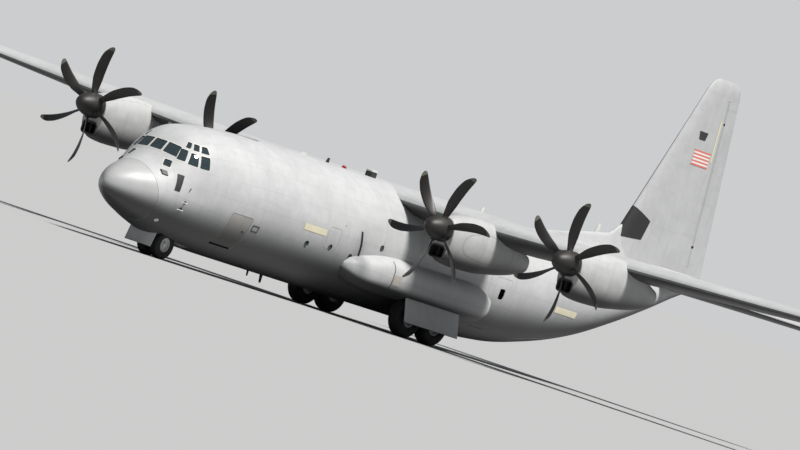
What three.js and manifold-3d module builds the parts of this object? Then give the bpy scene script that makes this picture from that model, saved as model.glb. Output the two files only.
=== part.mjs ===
// Military transport plane, four propellers, high wing, loading ramp, modelled at half size, on its gear.
// All sizes are metres of the full-size aircraft: x to the left (port) side, y aft from the nose tip, z up
// from the ground. The last group turns them into millimetres of the half-size model, y from mid-length.
import * as THREE from "three";
import { mergeVertices } from "three/addons/utils/BufferGeometryUtils.js";
import Module from "manifold-3d";

const wasm = await Module();
wasm.setup();

const MILLIMETRES_PER_METRE = 500;
const LENGTH = 34.37;
const SPAN = 40.41;

// Gaps: between fixed pieces that touch, at pins and bores, and round pieces that move.
const TOUCH = 0.0006;
const RUNNING = 0.014;

// Fuselage
const WALL = 0.12;
const AFT_WALL = 0.07;
const TAIL_SKIN = 0.035;
const RING_POINTS = 24;
const COCKPIT_END = 6.0;
const CENTRE_START = 12.9;
const AFT_START = 19.3;
const TAIL_CONE_START = 30.35;
const TAIL_CONE_END = 33.5;
const FLOOR_TOP = 1.03;
const FLOOR_THICKNESS = 0.14;
const BAY_HALF_WIDTH = 1.6;

// Wing
const WING_ROOT_CHORD = 4.877;
const WING_TIP_CHORD = 2.489;
const WING_BREAK = 5.588;
const WING_ROOT_LEADING_EDGE = 14.1;
const WING_Z = 4.27;
const WING_DIHEDRAL = THREE.MathUtils.degToRad(2.5);
const WING_ROOT_THICKNESS = 0.18;
const WING_TIP_THICKNESS = 0.12;
const WING_ROOT_INCIDENCE = THREE.MathUtils.degToRad(3);

// Engines and propellers
const ENGINE_X = [10.27, 4.953, -4.953, -10.27];
const PROPELLER_Y = 11.6;
const PROPELLER_Z = [4.08, 3.84, 3.84, 4.08];
const PROPELLER_RADIUS = 2.057;
const BLADE_COUNT = 6;
const BLADE_START_ANGLES = [146.2, 127.6, 166.4, 145.4];

// Landing gear
const MAIN_TYRE_RADIUS = 0.71;
const MAIN_TYRE_WIDTH = 0.5;
const MAIN_TRACK = 4.35;
const MAIN_WHEEL_Y = [15.24, 16.77];
const NOSE_TYRE_RADIUS = 0.495;
const NOSE_TYRE_WIDTH = 0.33;
const NOSE_WHEEL_Y = 3.7;
const NOSE_WHEEL_X = 0.27;

const degrees = THREE.MathUtils.degToRad;
const lerp = THREE.MathUtils.lerp;
const point = (x, y, z) => new THREE.Vector3(x, y, z);

// Materials: one maker per finish, because each piece owns its material.
const FINISHES = {
  paint: { color: 0x9a9da0, roughness: 0.6, metalness: 0.1 },
  radome: { color: 0xa3a5a8, roughness: 0.55, metalness: 0.0 },
  glass: { color: 0x24343a, roughness: 0.08, metalness: 0.0 },
  interior: { color: 0x6d7277, roughness: 0.8, metalness: 0.0 },
  panel: { color: 0x2b2d30, roughness: 0.7, metalness: 0.0 },
  seat: { color: 0x3a4038, roughness: 0.9, metalness: 0.0 },
  blade: { color: 0x241f1d, roughness: 0.5, metalness: 0.0 },
  steel: { color: 0xc3c5c6, roughness: 0.35, metalness: 0.6 },
  wheel: { color: 0xd0d1cf, roughness: 0.5, metalness: 0.2 },
  rubber: { color: 0x1d1d1e, roughness: 0.85, metalness: 0.0 },
  engine: { color: 0x55585a, roughness: 0.5, metalness: 0.7 },
};

const aircraft = new THREE.Group();
aircraft.scale.setScalar(MILLIMETRES_PER_METRE);
aircraft.position.y = (-LENGTH / 2) * MILLIMETRES_PER_METRE;

// Adds one named piece, with its own material, at its place.
function piece(name, shape, finish, place = point(0, 0, 0)) {
  const geometry = shape.isBufferGeometry ? shape : geometryOf(shape);
  const mesh = new THREE.Mesh(geometry, new THREE.MeshStandardMaterial(FINISHES[finish]));
  mesh.name = name;
  mesh.position.copy(place);
  aircraft.add(mesh);
  return mesh;
}

// A closed three.js geometry as a solid that can be joined and cut.
function solid(geometry) {
  const bare = geometry.clone();
  for (const attribute of ["normal", "uv"]) {
    bare.deleteAttribute(attribute);
  }
  const merged = mergeVertices(bare, 1e-6);
  const triVerts = new Uint32Array(merged.index.array);
  const vertProperties = merged.attributes.position.array;
  const made = new wasm.Manifold(new wasm.Mesh({ numProp: 3, vertProperties, triVerts }));
  if (made.volume() > 0) {
    return made;
  }
  for (let i = 0; i < triVerts.length; i += 3) {
    [triVerts[i + 1], triVerts[i + 2]] = [triVerts[i + 2], triVerts[i + 1]];
  }
  return new wasm.Manifold(new wasm.Mesh({ numProp: 3, vertProperties, triVerts }));
}

function geometryOf(made) {
  const mesh = made.getMesh();
  const geometry = new THREE.BufferGeometry();
  geometry.setAttribute("position", new THREE.BufferAttribute(new Float32Array(mesh.vertProperties), 3));
  geometry.setIndex(new THREE.BufferAttribute(new Uint32Array(mesh.triVerts), 1));
  return geometry;
}

const join = (...solids) => solids.reduce((sum, next) => sum.add(next));
const cut = (body, ...tools) => tools.reduce((rest, tool) => rest.subtract(tool), body);

// Basic solids, each at its place in the aircraft.
function box(xLow, xHigh, yLow, yHigh, zLow, zHigh) {
  const geometry = new THREE.BoxGeometry(xHigh - xLow, yHigh - yLow, zHigh - zLow);
  geometry.translate((xLow + xHigh) / 2, (yLow + yHigh) / 2, (zLow + zHigh) / 2);
  return solid(geometry);
}

// A round bar or cone between two points.
function rod(from, to, radius, endRadius = radius, sides = 8) {
  const along = to.clone().sub(from);
  const geometry = new THREE.CylinderGeometry(endRadius, radius, along.length(), sides);
  const turn = new THREE.Quaternion().setFromUnitVectors(point(0, 1, 0), along.clone().normalize());
  geometry.applyQuaternion(turn);
  const middle = from.clone().lerp(to, 0.5);
  geometry.translate(middle.x, middle.y, middle.z);
  return solid(geometry);
}

// The radius of a bore that clears a pin of the same number of sides at every angle.
const boreFor = (radius, sides = 8) => (radius + TOUCH) / Math.cos(Math.PI / sides);

// A solid through rings of equal point counts, closed by a fan at each end.
function loft(rings) {
  const count = rings[0].length;
  const positions = rings.flat().flatMap((p) => [p.x, p.y, p.z]);
  const indices = [];
  for (let row = 0; row < rings.length - 1; row++) {
    for (let i = 0; i < count; i++) {
      const a = row * count + i;
      const b = row * count + ((i + 1) % count);
      indices.push(a, b, a + count, b, b + count, a + count);
    }
  }
  for (const end of [0, rings.length - 1]) {
    const centre = rings[end].reduce((sum, p) => sum.add(p), point(0, 0, 0)).divideScalar(count);
    const hub = positions.length / 3;
    positions.push(centre.x, centre.y, centre.z);
    for (let i = 0; i < count; i++) {
      const a = end * count + i;
      const b = end * count + ((i + 1) % count);
      indices.push(...(end === 0 ? [hub, b, a] : [hub, a, b]));
    }
  }
  const geometry = new THREE.BufferGeometry();
  geometry.setAttribute("position", new THREE.Float32BufferAttribute(positions, 3));
  geometry.setIndex(indices);
  return solid(geometry);
}

// A prism from an outline of [u, v] pairs; place(u, v, t) gives a point, and t runs between the two ends.
function prism(outline, low, high, place) {
  return loft([low, high].map((t) => outline.map(([u, v]) => place(u, v, t))));
}
const sidePrism = (outline, xLow, xHigh) => prism(outline, xLow, xHigh, (y, z, x) => point(x, y, z));
const planPrism = (outline, zLow, zHigh) => prism(outline, zLow, zHigh, (x, y, z) => point(x, y, z));
const frontPrism = (outline, yLow, yHigh) => prism(outline, yLow, yHigh, (x, z, y) => point(x, y, z));

// Fuselage sections: station, half width, top, bottom, height of the widest point, roundness above and below
// (2 is an ellipse, more is squarer).
const FUSELAGE = [
  [0.0, 0.03, 1.92, 1.84, 1.88, 2, 2],
  [0.05, 0.15, 2.07, 1.7, 1.88, 2, 2],
  [0.2, 0.34, 2.26, 1.55, 1.88, 2, 2],
  [0.45, 0.56, 2.46, 1.4, 1.89, 2, 2],
  [0.8, 0.8, 2.67, 1.25, 1.91, 2, 2],
  [1.2, 1.01, 2.84, 1.1, 1.95, 2, 2],
  [1.65, 1.21, 3.07, 0.98, 2.02, 2, 2],
  [2.0, 1.35, 3.38, 0.89, 2.08, 2.05, 2.05],
  [2.35, 1.48, 3.82, 0.81, 2.15, 2.2, 2.05],
  [2.8, 1.62, 4.17, 0.72, 2.23, 2.45, 2.1],
  [3.4, 1.78, 4.4, 0.63, 2.34, 2.5, 2.15],
  [4.4, 1.97, 4.55, 0.55, 2.47, 2.35, 2.2],
  [6.0, 2.13, 4.66, 0.52, 2.57, 2.15, 2.3],
  [9.0, 2.16, 4.73, 0.52, 2.58, 2, 2.3],
  [20.0, 2.16, 4.73, 0.52, 2.58, 2, 2.3],
  [22.0, 2.13, 4.73, 0.62, 2.64, 2, 2.2],
  [24.0, 2.04, 4.75, 1.0, 2.82, 2, 2.4],
  [26.0, 1.87, 4.79, 1.58, 3.08, 2, 2.6],
  [28.0, 1.62, 4.85, 2.36, 3.45, 2, 2.6],
  [30.0, 1.3, 4.92, 3.22, 3.9, 2, 2.5],
  [31.7, 0.95, 4.98, 3.95, 4.35, 2, 2.3],
  [33.2, 0.55, 4.97, 4.42, 4.65, 2, 2],
  [34.1, 0.24, 4.87, 4.6, 4.73, 2, 2],
  [LENGTH, 0.08, 4.78, 4.68, 4.73, 2, 2],
];

// One ring of the fuselage, moved in by a wall thickness.
function fuselageRing([y, halfWidth, top, bottom, widest, above, below], inset) {
  const ring = [];
  for (let i = 0; i < RING_POINTS; i++) {
    const angle = (i / RING_POINTS) * 2 * Math.PI;
    const roundness = Math.sin(angle) >= 0 ? above : below;
    const height = Math.sin(angle) >= 0 ? top - inset - widest : widest - bottom - inset;
    const across = Math.sign(Math.cos(angle)) * Math.abs(Math.cos(angle)) ** (2 / roundness);
    const up = Math.sign(Math.sin(angle)) * Math.abs(Math.sin(angle)) ** (2 / roundness);
    ring.push(point(across * (halfWidth - inset), y, widest + up * height));
  }
  return ring;
}

const FUSELAGE_SKIN = loft(FUSELAGE.map((row) => fuselageRing(row, 0)));
const FUSELAGE_GROWN = loft(FUSELAGE.map((row) => fuselageRing(row, -TOUCH)));
const FUSELAGE_CORE = loft(FUSELAGE.slice(3, -3).map((row) => fuselageRing(row, WALL / 2)));
const HOLLOW_ROWS = FUSELAGE.filter(([y]) => y > 1 && y < TAIL_CONE_END);
const FUSELAGE_HOLLOW = loft(HOLLOW_ROWS.map((row) => fuselageRing(row, WALL)));
const AFT_HOLLOW = loft(HOLLOW_ROWS.map((row) => fuselageRing(row, AFT_WALL)));
const slab = (yLow, yHigh) => box(-3, 3, yLow + TOUCH / 2, yHigh - TOUCH / 2, -1, 9);

const mirrored = (made) => made.mirror([1, 0, 0]);
const both = (made) => join(made, mirrored(made));

// Moves the points of a convex outline away from its middle.
function grow(outline, distance) {
  const total = outline.reduce(([u, v], [a, b]) => [u + a, v + b], [0, 0]);
  const middle = total.map((sum) => sum / outline.length);
  return outline.map(([u, v]) => {
    const away = new THREE.Vector2(u - middle[0], v - middle[1]);
    const scale = (away.length() + distance * Math.SQRT2) / away.length();
    return [middle[0] + away.x * scale, middle[1] + away.y * scale];
  });
}
const rectangle = (uLow, uHigh, vLow, vHigh) => [
  [uLow, vLow],
  [uHigh, vLow],
  [uHigh, vHigh],
  [uLow, vHigh],
];

// Windows of the flight deck, on the left side. Front panes are cut along the aircraft, side panes across.
const FRONT_PANE = [[0.32, 3.4], [0.85, 3.34], [0.76, 3.71], [0.3, 3.75]];
const CENTRE_PANE = [[-0.25, 3.41], [0.25, 3.41], [0.23, 3.75], [-0.23, 3.75]];
const SIDE_PANES = [
  [[2.15, 3.29], [2.33, 3.28], [2.52, 3.66], [2.38, 3.67]],
  [[2.38, 3.24], [2.69, 3.23], [2.77, 3.62], [2.57, 3.63]],
  [[2.76, 3.23], [3.12, 3.24], [3.16, 3.65], [2.84, 3.63]],
  [[2.49, 3.74], [2.59, 3.73], [2.73, 3.93], [2.65, 3.94]],
  [[2.64, 3.72], [2.81, 3.72], [2.91, 3.93], [2.76, 3.93]],
  [[2.86, 3.71], [3.16, 3.73], [3.14, 3.94], [2.97, 3.93]],
  [[1.77, 2.97], [1.92, 2.95], [2.06, 3.18], [1.94, 3.19]],
];
const WINDOW_FRONT_REACH = [1.2, 2.9];
const WINDOW_SIDE_REACH = [0.3, 2.3];
const GLASS_THICKNESS = 0.03;
const GLASS_LINER = { front: 1.66, back: 3.65, bottom: 2.88, top: 4.1 };

function windowTools() {
  const front = frontPrism(FRONT_PANE, ...WINDOW_FRONT_REACH);
  const side = SIDE_PANES.map((pane) => sidePrism(pane, ...WINDOW_SIDE_REACH));
  const centre = frontPrism(CENTRE_PANE, ...WINDOW_FRONT_REACH);
  return join(...[front, ...side].map(both), centre);
}

const layer = (rows, outer, inner) =>
  cut(loft(rows.map((row) => fuselageRing(row, outer))), loft(rows.map((row) => fuselageRing(row, inner))));
const SHELL = cut(FUSELAGE_SKIN, FUSELAGE_HOLLOW);
const AFT_SHELL = cut(FUSELAGE_SKIN, AFT_HOLLOW);
const NOSE_ROWS = FUSELAGE.filter(([y]) => y > 1 && y < 9.5);

// The glazing is one clear liner behind the window frames.
function cockpitGlass() {
  return layer(NOSE_ROWS, WALL + TOUCH, WALL + GLASS_THICKNESS).intersect(
    box(-2, 2, GLASS_LINER.front, GLASS_LINER.back, GLASS_LINER.bottom, GLASS_LINER.top),
  );
}

// The radome's seam leans forward toward the top.
const RADOME_SEAM = { bottomY: 1.95, bottomZ: 0.4, topY: 1.1, topZ: 3.4 };
const seamTool = (shift) =>
  sidePrism(
    [
      [-1, RADOME_SEAM.bottomZ],
      [RADOME_SEAM.bottomY + shift, RADOME_SEAM.bottomZ],
      [RADOME_SEAM.topY + shift, RADOME_SEAM.topZ],
      [-1, RADOME_SEAM.topZ],
    ],
    -3,
    3,
  );

// Crew entrance door, left side, hinged in the skin along its sill; it opens outward and down, with steps
// on its inner face.
const CREW_DOOR = { front: 4.56, back: 5.58, sill: 1.06, top: 2.2 };
const CREW_HINGE_RADIUS = 0.03;
const CREW_PIN_END = 0.1;
const CREW_HINGE_Z = 1.07;
const CREW_HINGE_X = 1.434;
const CREW_HINGE_SLOPE = 0.096;
const CREW_DOOR_GAP = 0.034;
const crewHingePoint = (y) =>
  point(CREW_HINGE_X + (y - CREW_DOOR.front) * CREW_HINGE_SLOPE, y, CREW_HINGE_Z);
const CREW_DOOR_OUTLINE = rectangle(CREW_DOOR.front, CREW_DOOR.back, CREW_DOOR.sill, CREW_DOOR.top);

// The nose gear bay opens in the belly under the flight deck.
const NOSE_BAY = { halfWidth: 0.72, front: 2.9, back: 4.5, roof: 1.5 };
const NOSE_BAY_LINING = 0.05;

function noseSection() {
  const lining = box(
    -NOSE_BAY.halfWidth - NOSE_BAY_LINING,
    NOSE_BAY.halfWidth + NOSE_BAY_LINING,
    NOSE_BAY.front - NOSE_BAY_LINING,
    NOSE_BAY.back + NOSE_BAY_LINING,
    0,
    NOSE_BAY.roof + NOSE_BAY_LINING,
  ).intersect(FUSELAGE_CORE);
  const bay = box(-NOSE_BAY.halfWidth, NOSE_BAY.halfWidth, NOSE_BAY.front, NOSE_BAY.back, 0, NOSE_BAY.roof);
  const doorway = sidePrism(grow(CREW_DOOR_OUTLINE, CREW_DOOR_GAP), 1, 3);
  const hingeBore = rod(
    crewHingePoint(CREW_DOOR.front - CREW_PIN_END - RUNNING),
    crewHingePoint(CREW_DOOR.back + CREW_PIN_END + RUNNING),
    boreFor(CREW_HINGE_RADIUS),
  );
  const shell = cut(SHELL, seamTool(TOUCH)).intersect(slab(0.5, COCKPIT_END));
  return cut(join(shell, lining), bay, windowTools(), doorway, hingeBore);
}

const CREW_STEPS = [
  { z: 1.35, depth: 0.2 },
  { z: 1.65, depth: 0.2 },
  { z: 1.95, depth: 0.2 },
];
const STEP_THICKNESS = 0.03;
const STEP_INSET = 0.15;
const STEP_ROOT = 0.01;

function crewDoor() {
  const leaf = SHELL.intersect(sidePrism(CREW_DOOR_OUTLINE, 1, 3));
  const pin = rod(
    crewHingePoint(CREW_DOOR.front - CREW_PIN_END),
    crewHingePoint(CREW_DOOR.back + CREW_PIN_END),
    CREW_HINGE_RADIUS,
  );
  const steps = CREW_STEPS.map(({ z, depth }) => {
    const [front, back] = [CREW_DOOR.front + STEP_INSET, CREW_DOOR.back - STEP_INSET];
    return box(1, 3, front, back, z, z + STEP_THICKNESS).intersect(layer(NOSE_ROWS, WALL - STEP_ROOT, WALL + depth));
  });
  return join(leaf, pin, ...steps);
}

// Loading end: the ramp hangs on two lugs at its lower front edge, the cargo door on pins at its aft edge.
const RAMP = { front: 22.6, back: 25.7, halfWidth: 1.38, thickness: 0.3 };
const RAMP_HINGE = { y: 22.66, z: 0.8, radius: 0.025 };
const RAMP_FRONT_GAP = 0.04;
const RAMP_LUG = { x: 0.5, halfWidth: 0.04, radius: 0.05, slotRadius: 0.1, root: 0.05 };
const RAMP_PIN_ROOT = 0.03;
const SEAM_REACH = 0.1;
const CARGO_DOOR = {
  front: 25.74,
  back: 30.04,
  frontHalfWidth: 1.34,
  backHalfWidth: 0.85,
  thickness: 0.16,
};
const CARGO_AFT_GAP = 0.055;
const CARGO_HINGE = { y: 30.0, z: 3.39, radius: 0.035 };

// A layer of the belly, of a given thickness measured upward.
const bellyLayer = (thickness) => cut(FUSELAGE_SKIN, FUSELAGE_SKIN.translate([0, 0, thickness]));
const doorPlan = ({ front, back, frontHalfWidth, backHalfWidth }, extra) => [
  [-frontHalfWidth - extra, front - extra],
  [frontHalfWidth + extra, front - extra],
  [backHalfWidth + extra, back + extra],
  [-backHalfWidth - extra, back + extra],
];
const rampPlan = (extra, frontExtra) =>
  rectangle(-RAMP.halfWidth - extra, RAMP.halfWidth + extra, RAMP.front - frontExtra, RAMP.back + extra);
const LOADING_GAP = planPrism(
  rectangle(
    -CARGO_DOOR.frontHalfWidth,
    CARGO_DOOR.frontHalfWidth,
    RAMP.back - SEAM_REACH,
    RAMP.back + SEAM_REACH,
  ),
  0,
  3,
);
const hingeLine = ({ y, z }, halfLength, radius) =>
  rod(point(-halfLength, y, z), point(halfLength, y, z), radius);
const CARGO_BACK_GAP = rectangle(
  -CARGO_DOOR.backHalfWidth - RUNNING,
  CARGO_DOOR.backHalfWidth + RUNNING,
  CARGO_DOOR.back,
  CARGO_DOOR.back + CARGO_AFT_GAP,
);
const LOADING_CUT_DEPTH = 0.6;
const CARGO_PIN_END = 0.06;
const CARGO_PIN_HALF = CARGO_DOOR.backHalfWidth + CARGO_PIN_END;
const RAMP_SLOT_HALF = RAMP_LUG.halfWidth + RUNNING;

// The ramp's aft face leans forward, so that its upper edge clears the cargo door on the way down.
const RAMP_END = { bottom: 1.45, top: 2.45, low: RAMP.back + 0.01, high: RAMP.back - 0.55, reach: 1 };
const RAMP_END_SLANT = [
  [RAMP_END.low, RAMP_END.bottom],
  [RAMP.back + RAMP_END.reach, RAMP_END.bottom],
  [RAMP.back + RAMP_END.reach, RAMP_END.top],
  [RAMP_END.high, RAMP_END.top],
];

function ramp() {
  const leaf = bellyLayer(RAMP.thickness).intersect(planPrism(rampPlan(0, 0), 0, 3));
  const slot = hingeLine(RAMP_HINGE, RAMP_SLOT_HALF, RAMP_LUG.slotRadius);
  const pin = hingeLine(RAMP_HINGE, RAMP_SLOT_HALF + RAMP_PIN_ROOT, RAMP_HINGE.radius);
  const [slots, pins] = [slot, pin].map((one) => both(one.translate([RAMP_LUG.x, 0, 0])));
  return join(cut(leaf, slots, sidePrism(RAMP_END_SLANT, -2, 2)), pins);
}

// The lugs reach aft from the sill that closes the floor's end.
function rampLug() {
  const reach = box(
    -RAMP_LUG.halfWidth,
    RAMP_LUG.halfWidth,
    RAMP.front - RAMP_FRONT_GAP - RAMP_LUG.root,
    RAMP_HINGE.y,
    RAMP_HINGE.z - RAMP_HINGE.radius,
    RAMP_HINGE.z + RAMP_HINGE.radius,
  );
  const lug = join(hingeLine(RAMP_HINGE, RAMP_LUG.halfWidth, RAMP_LUG.radius), reach);
  const bore = hingeLine(RAMP_HINGE, RAMP_SLOT_HALF, boreFor(RAMP_HINGE.radius));
  return cut(lug, bore).translate([RAMP_LUG.x, 0, 0]);
}

function cargoDoor() {
  const leaf = bellyLayer(CARGO_DOOR.thickness).intersect(planPrism(doorPlan(CARGO_DOOR, 0), 0, 4.2));
  return join(leaf, hingeLine(CARGO_HINGE, CARGO_PIN_HALF, CARGO_HINGE.radius));
}

// Paratroop doors, one each side behind the wheel fairings, with a small window.
const PARATROOP_DOOR = rectangle(19.62, 20.53, 1.06, 2.92);
const PARATROOP_WINDOW = rectangle(19.95, 20.25, 2.2, 2.56);

function paratroopDoor(side) {
  const leaf = AFT_SHELL.intersect(sidePrism(grow(PARATROOP_DOOR, -TOUCH), 1, 3));
  const made = cut(leaf, sidePrism(PARATROOP_WINDOW, 1, 3));
  return side > 0 ? made : mirrored(made);
}

// Wheel wells in the sides of the centre fuselage, closed toward the cargo bay by a lining.
const WHEEL_WELL = { inner: 1.66, front: 14.4, back: 17.65, bottom: 0, top: 2.32 };
const WELL_LINING = 0.06;
const wellBox = (extra) =>
  box(
    WHEEL_WELL.inner - extra,
    3,
    WHEEL_WELL.front - extra,
    WHEEL_WELL.back + extra,
    WHEEL_WELL.bottom,
    WHEEL_WELL.top + extra,
  );

function centreFuselage(wingTool) {
  const lining = both(wellBox(WELL_LINING)).intersect(FUSELAGE_CORE);
  const shell = join(SHELL, lining).intersect(slab(CENTRE_START, AFT_START));
  return cut(shell, both(wellBox(0)), wingTool);
}

function aftFuselage() {
  const sill = box(
    -BAY_HALF_WIDTH,
    BAY_HALF_WIDTH,
    RAMP.front - 0.5,
    RAMP.front - RAMP_FRONT_GAP,
    0.4,
    FLOOR_TOP - FLOOR_THICKNESS - 0.02,
  );
  const shell = join(AFT_SHELL, sill.intersect(FUSELAGE_CORE)).intersect(slab(AFT_START, TAIL_CONE_START));
  const opening = join(
    planPrism(rampPlan(RUNNING, RAMP_FRONT_GAP), 0, 3),
    planPrism(doorPlan(CARGO_DOOR, RUNNING), 0, 4.2),
    planPrism(CARGO_BACK_GAP, 0, 4.2),
    LOADING_GAP,
  );
  const cargoBore = hingeLine(CARGO_HINGE, CARGO_PIN_HALF + RUNNING, boreFor(CARGO_HINGE.radius));
  const doorways = both(sidePrism(PARATROOP_DOOR, 1, 3));
  const aboveBelly = FUSELAGE_SKIN.translate([0, 0, LOADING_CUT_DEPTH]);
  const open = cut(shell, cut(opening, aboveBelly), doorways, cargoBore);
  return join(open, both(rampLug()));
}

// Wheel fairings on the sides: station, outer edge, bottom, top, along the centre fuselage.
const FAIRING = [
  [11.1, 2.24, 1.55, 1.95],
  [11.5, 2.42, 1.3, 2.16],
  [12.2, 2.56, 1.14, 2.32],
  [13.2, 2.65, 1.08, 2.45],
  [14.2, 2.68, 1.07, 2.48],
  [17.9, 2.68, 1.07, 2.48],
  [18.8, 2.6, 1.12, 2.42],
  [19.35, 2.4, 1.35, 2.25],
];
const FAIRING_INNER = 1.3;
const FAIRING_SEGMENTS = 16;
const FAIRING_ROUNDNESS = 3.2;

function fairingRing([y, outer, bottom, top]) {
  const ring = [];
  const middle = (bottom + top) / 2;
  for (let i = 0; i <= FAIRING_SEGMENTS; i++) {
    const angle = (i / FAIRING_SEGMENTS - 0.5) * Math.PI;
    const across = Math.cos(angle) ** (2 / FAIRING_ROUNDNESS);
    const up = Math.sign(angle) * Math.abs(Math.sin(angle)) ** (2 / FAIRING_ROUNDNESS);
    const x = FAIRING_INNER + across * (outer - FAIRING_INNER);
    ring.push(point(x, y, middle + (up * (top - bottom)) / 2));
  }
  return ring;
}

const WELL_MOUTH = { outer: 2.52, front: 14.4, back: 17.65, top: 2.2 };

function fairing(side) {
  const mouth = box(0, WELL_MOUTH.outer, WELL_MOUTH.front, WELL_MOUTH.back, 0, WELL_MOUTH.top);
  const body = cut(loft(FAIRING.map(fairingRing)), mouth);
  return cut(side > 0 ? body : mirrored(body), FUSELAGE_GROWN);
}

// Cargo floor, as wide as the inside of the shell allows.
function cargoFloor() {
  const inside = loft(HOLLOW_ROWS.map((row) => fuselageRing(row, WALL + TOUCH)));
  const deck = box(
    -BAY_HALF_WIDTH,
    BAY_HALF_WIDTH,
    COCKPIT_END + 0.1,
    RAMP.front - RUNNING,
    FLOOR_TOP - FLOOR_THICKNESS,
    FLOOR_TOP,
  );
  return deck.intersect(inside);
}

// Wing section: half thickness and camber line at a fraction of the chord.
const AIRFOIL_STEPS = [0, 0.025, 0.1, 0.25, 0.5, 0.75, 1];
const TRAILING_EDGE_SHARE = 0.0035;
const CAMBER = 0.02;
const halfThicknessAt = (x, ratio) =>
  5 * ratio * (0.2969 * Math.sqrt(x) - 0.126 * x - 0.3516 * x ** 2 + 0.2843 * x ** 3 - 0.1015 * x ** 4) +
  TRAILING_EDGE_SHARE * x;
const camberAt = (x, camber) => 4 * camber * x * (1 - x);

// One section in a plane of its own, as [aft, up] pairs from the leading edge.
function airfoil(chord, ratio, camber, incidence, extra) {
  const upper = AIRFOIL_STEPS.map((x) => [x, camberAt(x, camber) + halfThicknessAt(x, ratio)]);
  const lower = AIRFOIL_STEPS.slice(1).map((x) => [x, camberAt(x, camber) - halfThicknessAt(x, ratio)]);
  const loop = [...lower.reverse(), ...upper];
  return loop.map(([x, z], i) => {
    const before = loop[(i + loop.length - 1) % loop.length];
    const after = loop[(i + 1) % loop.length];
    const normal = new THREE.Vector2(before[1] - after[1], after[0] - before[0]).normalize();
    const aft = (x - 0.25) * chord + normal.x * extra;
    const up = z * chord + normal.y * extra;
    return [
      chord * 0.25 + aft * Math.cos(incidence) + up * Math.sin(incidence),
      up * Math.cos(incidence) - aft * Math.sin(incidence),
    ];
  });
}

// The wing at a distance from the middle: chord, leading edge, height, thickness ratio and incidence.
function wingAt(x) {
  const outboard = Math.max(0, (Math.abs(x) - WING_BREAK) / (SPAN / 2 - WING_BREAK));
  const chord = lerp(WING_ROOT_CHORD, WING_TIP_CHORD, outboard);
  return {
    chord,
    leadingEdge: WING_ROOT_LEADING_EDGE + (WING_ROOT_CHORD - chord) / 4,
    z: WING_Z + Math.max(0, Math.abs(x) - WING_BREAK) * Math.tan(WING_DIHEDRAL),
    ratio: lerp(WING_ROOT_THICKNESS, WING_TIP_THICKNESS, outboard),
    incidence: lerp(WING_ROOT_INCIDENCE, 0, outboard),
  };
}

function wingRing(x, extra, share = 1) {
  const { chord, leadingEdge, z, ratio, incidence } = wingAt(x);
  const section = airfoil(chord * share, ratio * share, CAMBER, incidence, extra);
  const start = leadingEdge + (chord * (1 - share)) / 2;
  return section.map(([aft, up]) => point(x, start + aft, z + up));
}

// A point of the wing's middle surface, and its half thickness there.
function wingPoint(x, share) {
  const { chord, leadingEdge, z, ratio, incidence } = wingAt(x);
  const aft = (share - 0.25) * chord;
  const up = camberAt(share, CAMBER) * chord;
  return {
    place: point(
      x,
      leadingEdge + chord * 0.25 + aft * Math.cos(incidence) + up * Math.sin(incidence),
      z + up * Math.cos(incidence) - aft * Math.sin(incidence),
    ),
    radius: halfThicknessAt(share, ratio) * chord * NOSE_SHARE,
  };
}

const WING_TIP_ROUNDING = 0.35;
const WING_TIP_SHARE = 0.62;
const WING_TIP = SPAN / 2;
const OUTER_RINGS = (extra) => [
  wingRing(WING_BREAK + TOUCH / 2, extra),
  wingRing(WING_TIP - WING_TIP_ROUNDING, extra),
  wingRing(WING_TIP - WING_TIP_ROUNDING / 4, extra, 0.88),
  wingRing(WING_TIP, extra, WING_TIP_SHARE),
];
const centreWingBody = (extra) =>
  loft([-WING_BREAK, WING_BREAK].map((x) => wingRing(x - (Math.sign(x) * TOUCH) / 2, extra)));

// The hollow between the spars of a tail surface, open at its root.
const SPAR_SHARES = [0.07, 0.3, 0.62];
function hollowSection(chord, ratio) {
  const side = (sign) =>
    SPAR_SHARES.map((x) => [x * chord, sign * (halfThicknessAt(x, ratio) * chord - TAIL_SKIN)]);
  return [...side(-1), ...side(1).reverse()];
}

// Movable surfaces: each has a round nose on its hinge line, in a cove of the fixed surface, and hangs on
// lugs, in slots of its nose.
const NOSE_SHARE = 0.93;
const NOSE_OVERLAP = 0.006;
const COVE = 0.06;
const LUG_WIDTH = 0.05;
const LUG_SHARE = 0.5;
const PIN_SHARE = 0.2;
const PIN_ROOT = 0.02;
const ARM_SHARE = 0.7;
const ARM_ROOT = 0.04;
const SLOT_SHARE = 1.12;
const NOSE_SIDES = 10;

// The flat arm of a lug, forward from its hinge point and square to the hinge line.
function lugArm(centre, axis, half, reach, thick) {
  const forward = point(0, -1, 0).addScaledVector(axis, axis.y).normalize();
  const across = axis.clone().cross(forward);
  const geometry = new THREE.BoxGeometry(half * 2, reach, thick * 2);
  geometry.translate(0, reach / 2, 0);
  geometry.applyMatrix4(new THREE.Matrix4().makeBasis(axis, forward, across).setPosition(centre));
  return solid(geometry);
}

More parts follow.
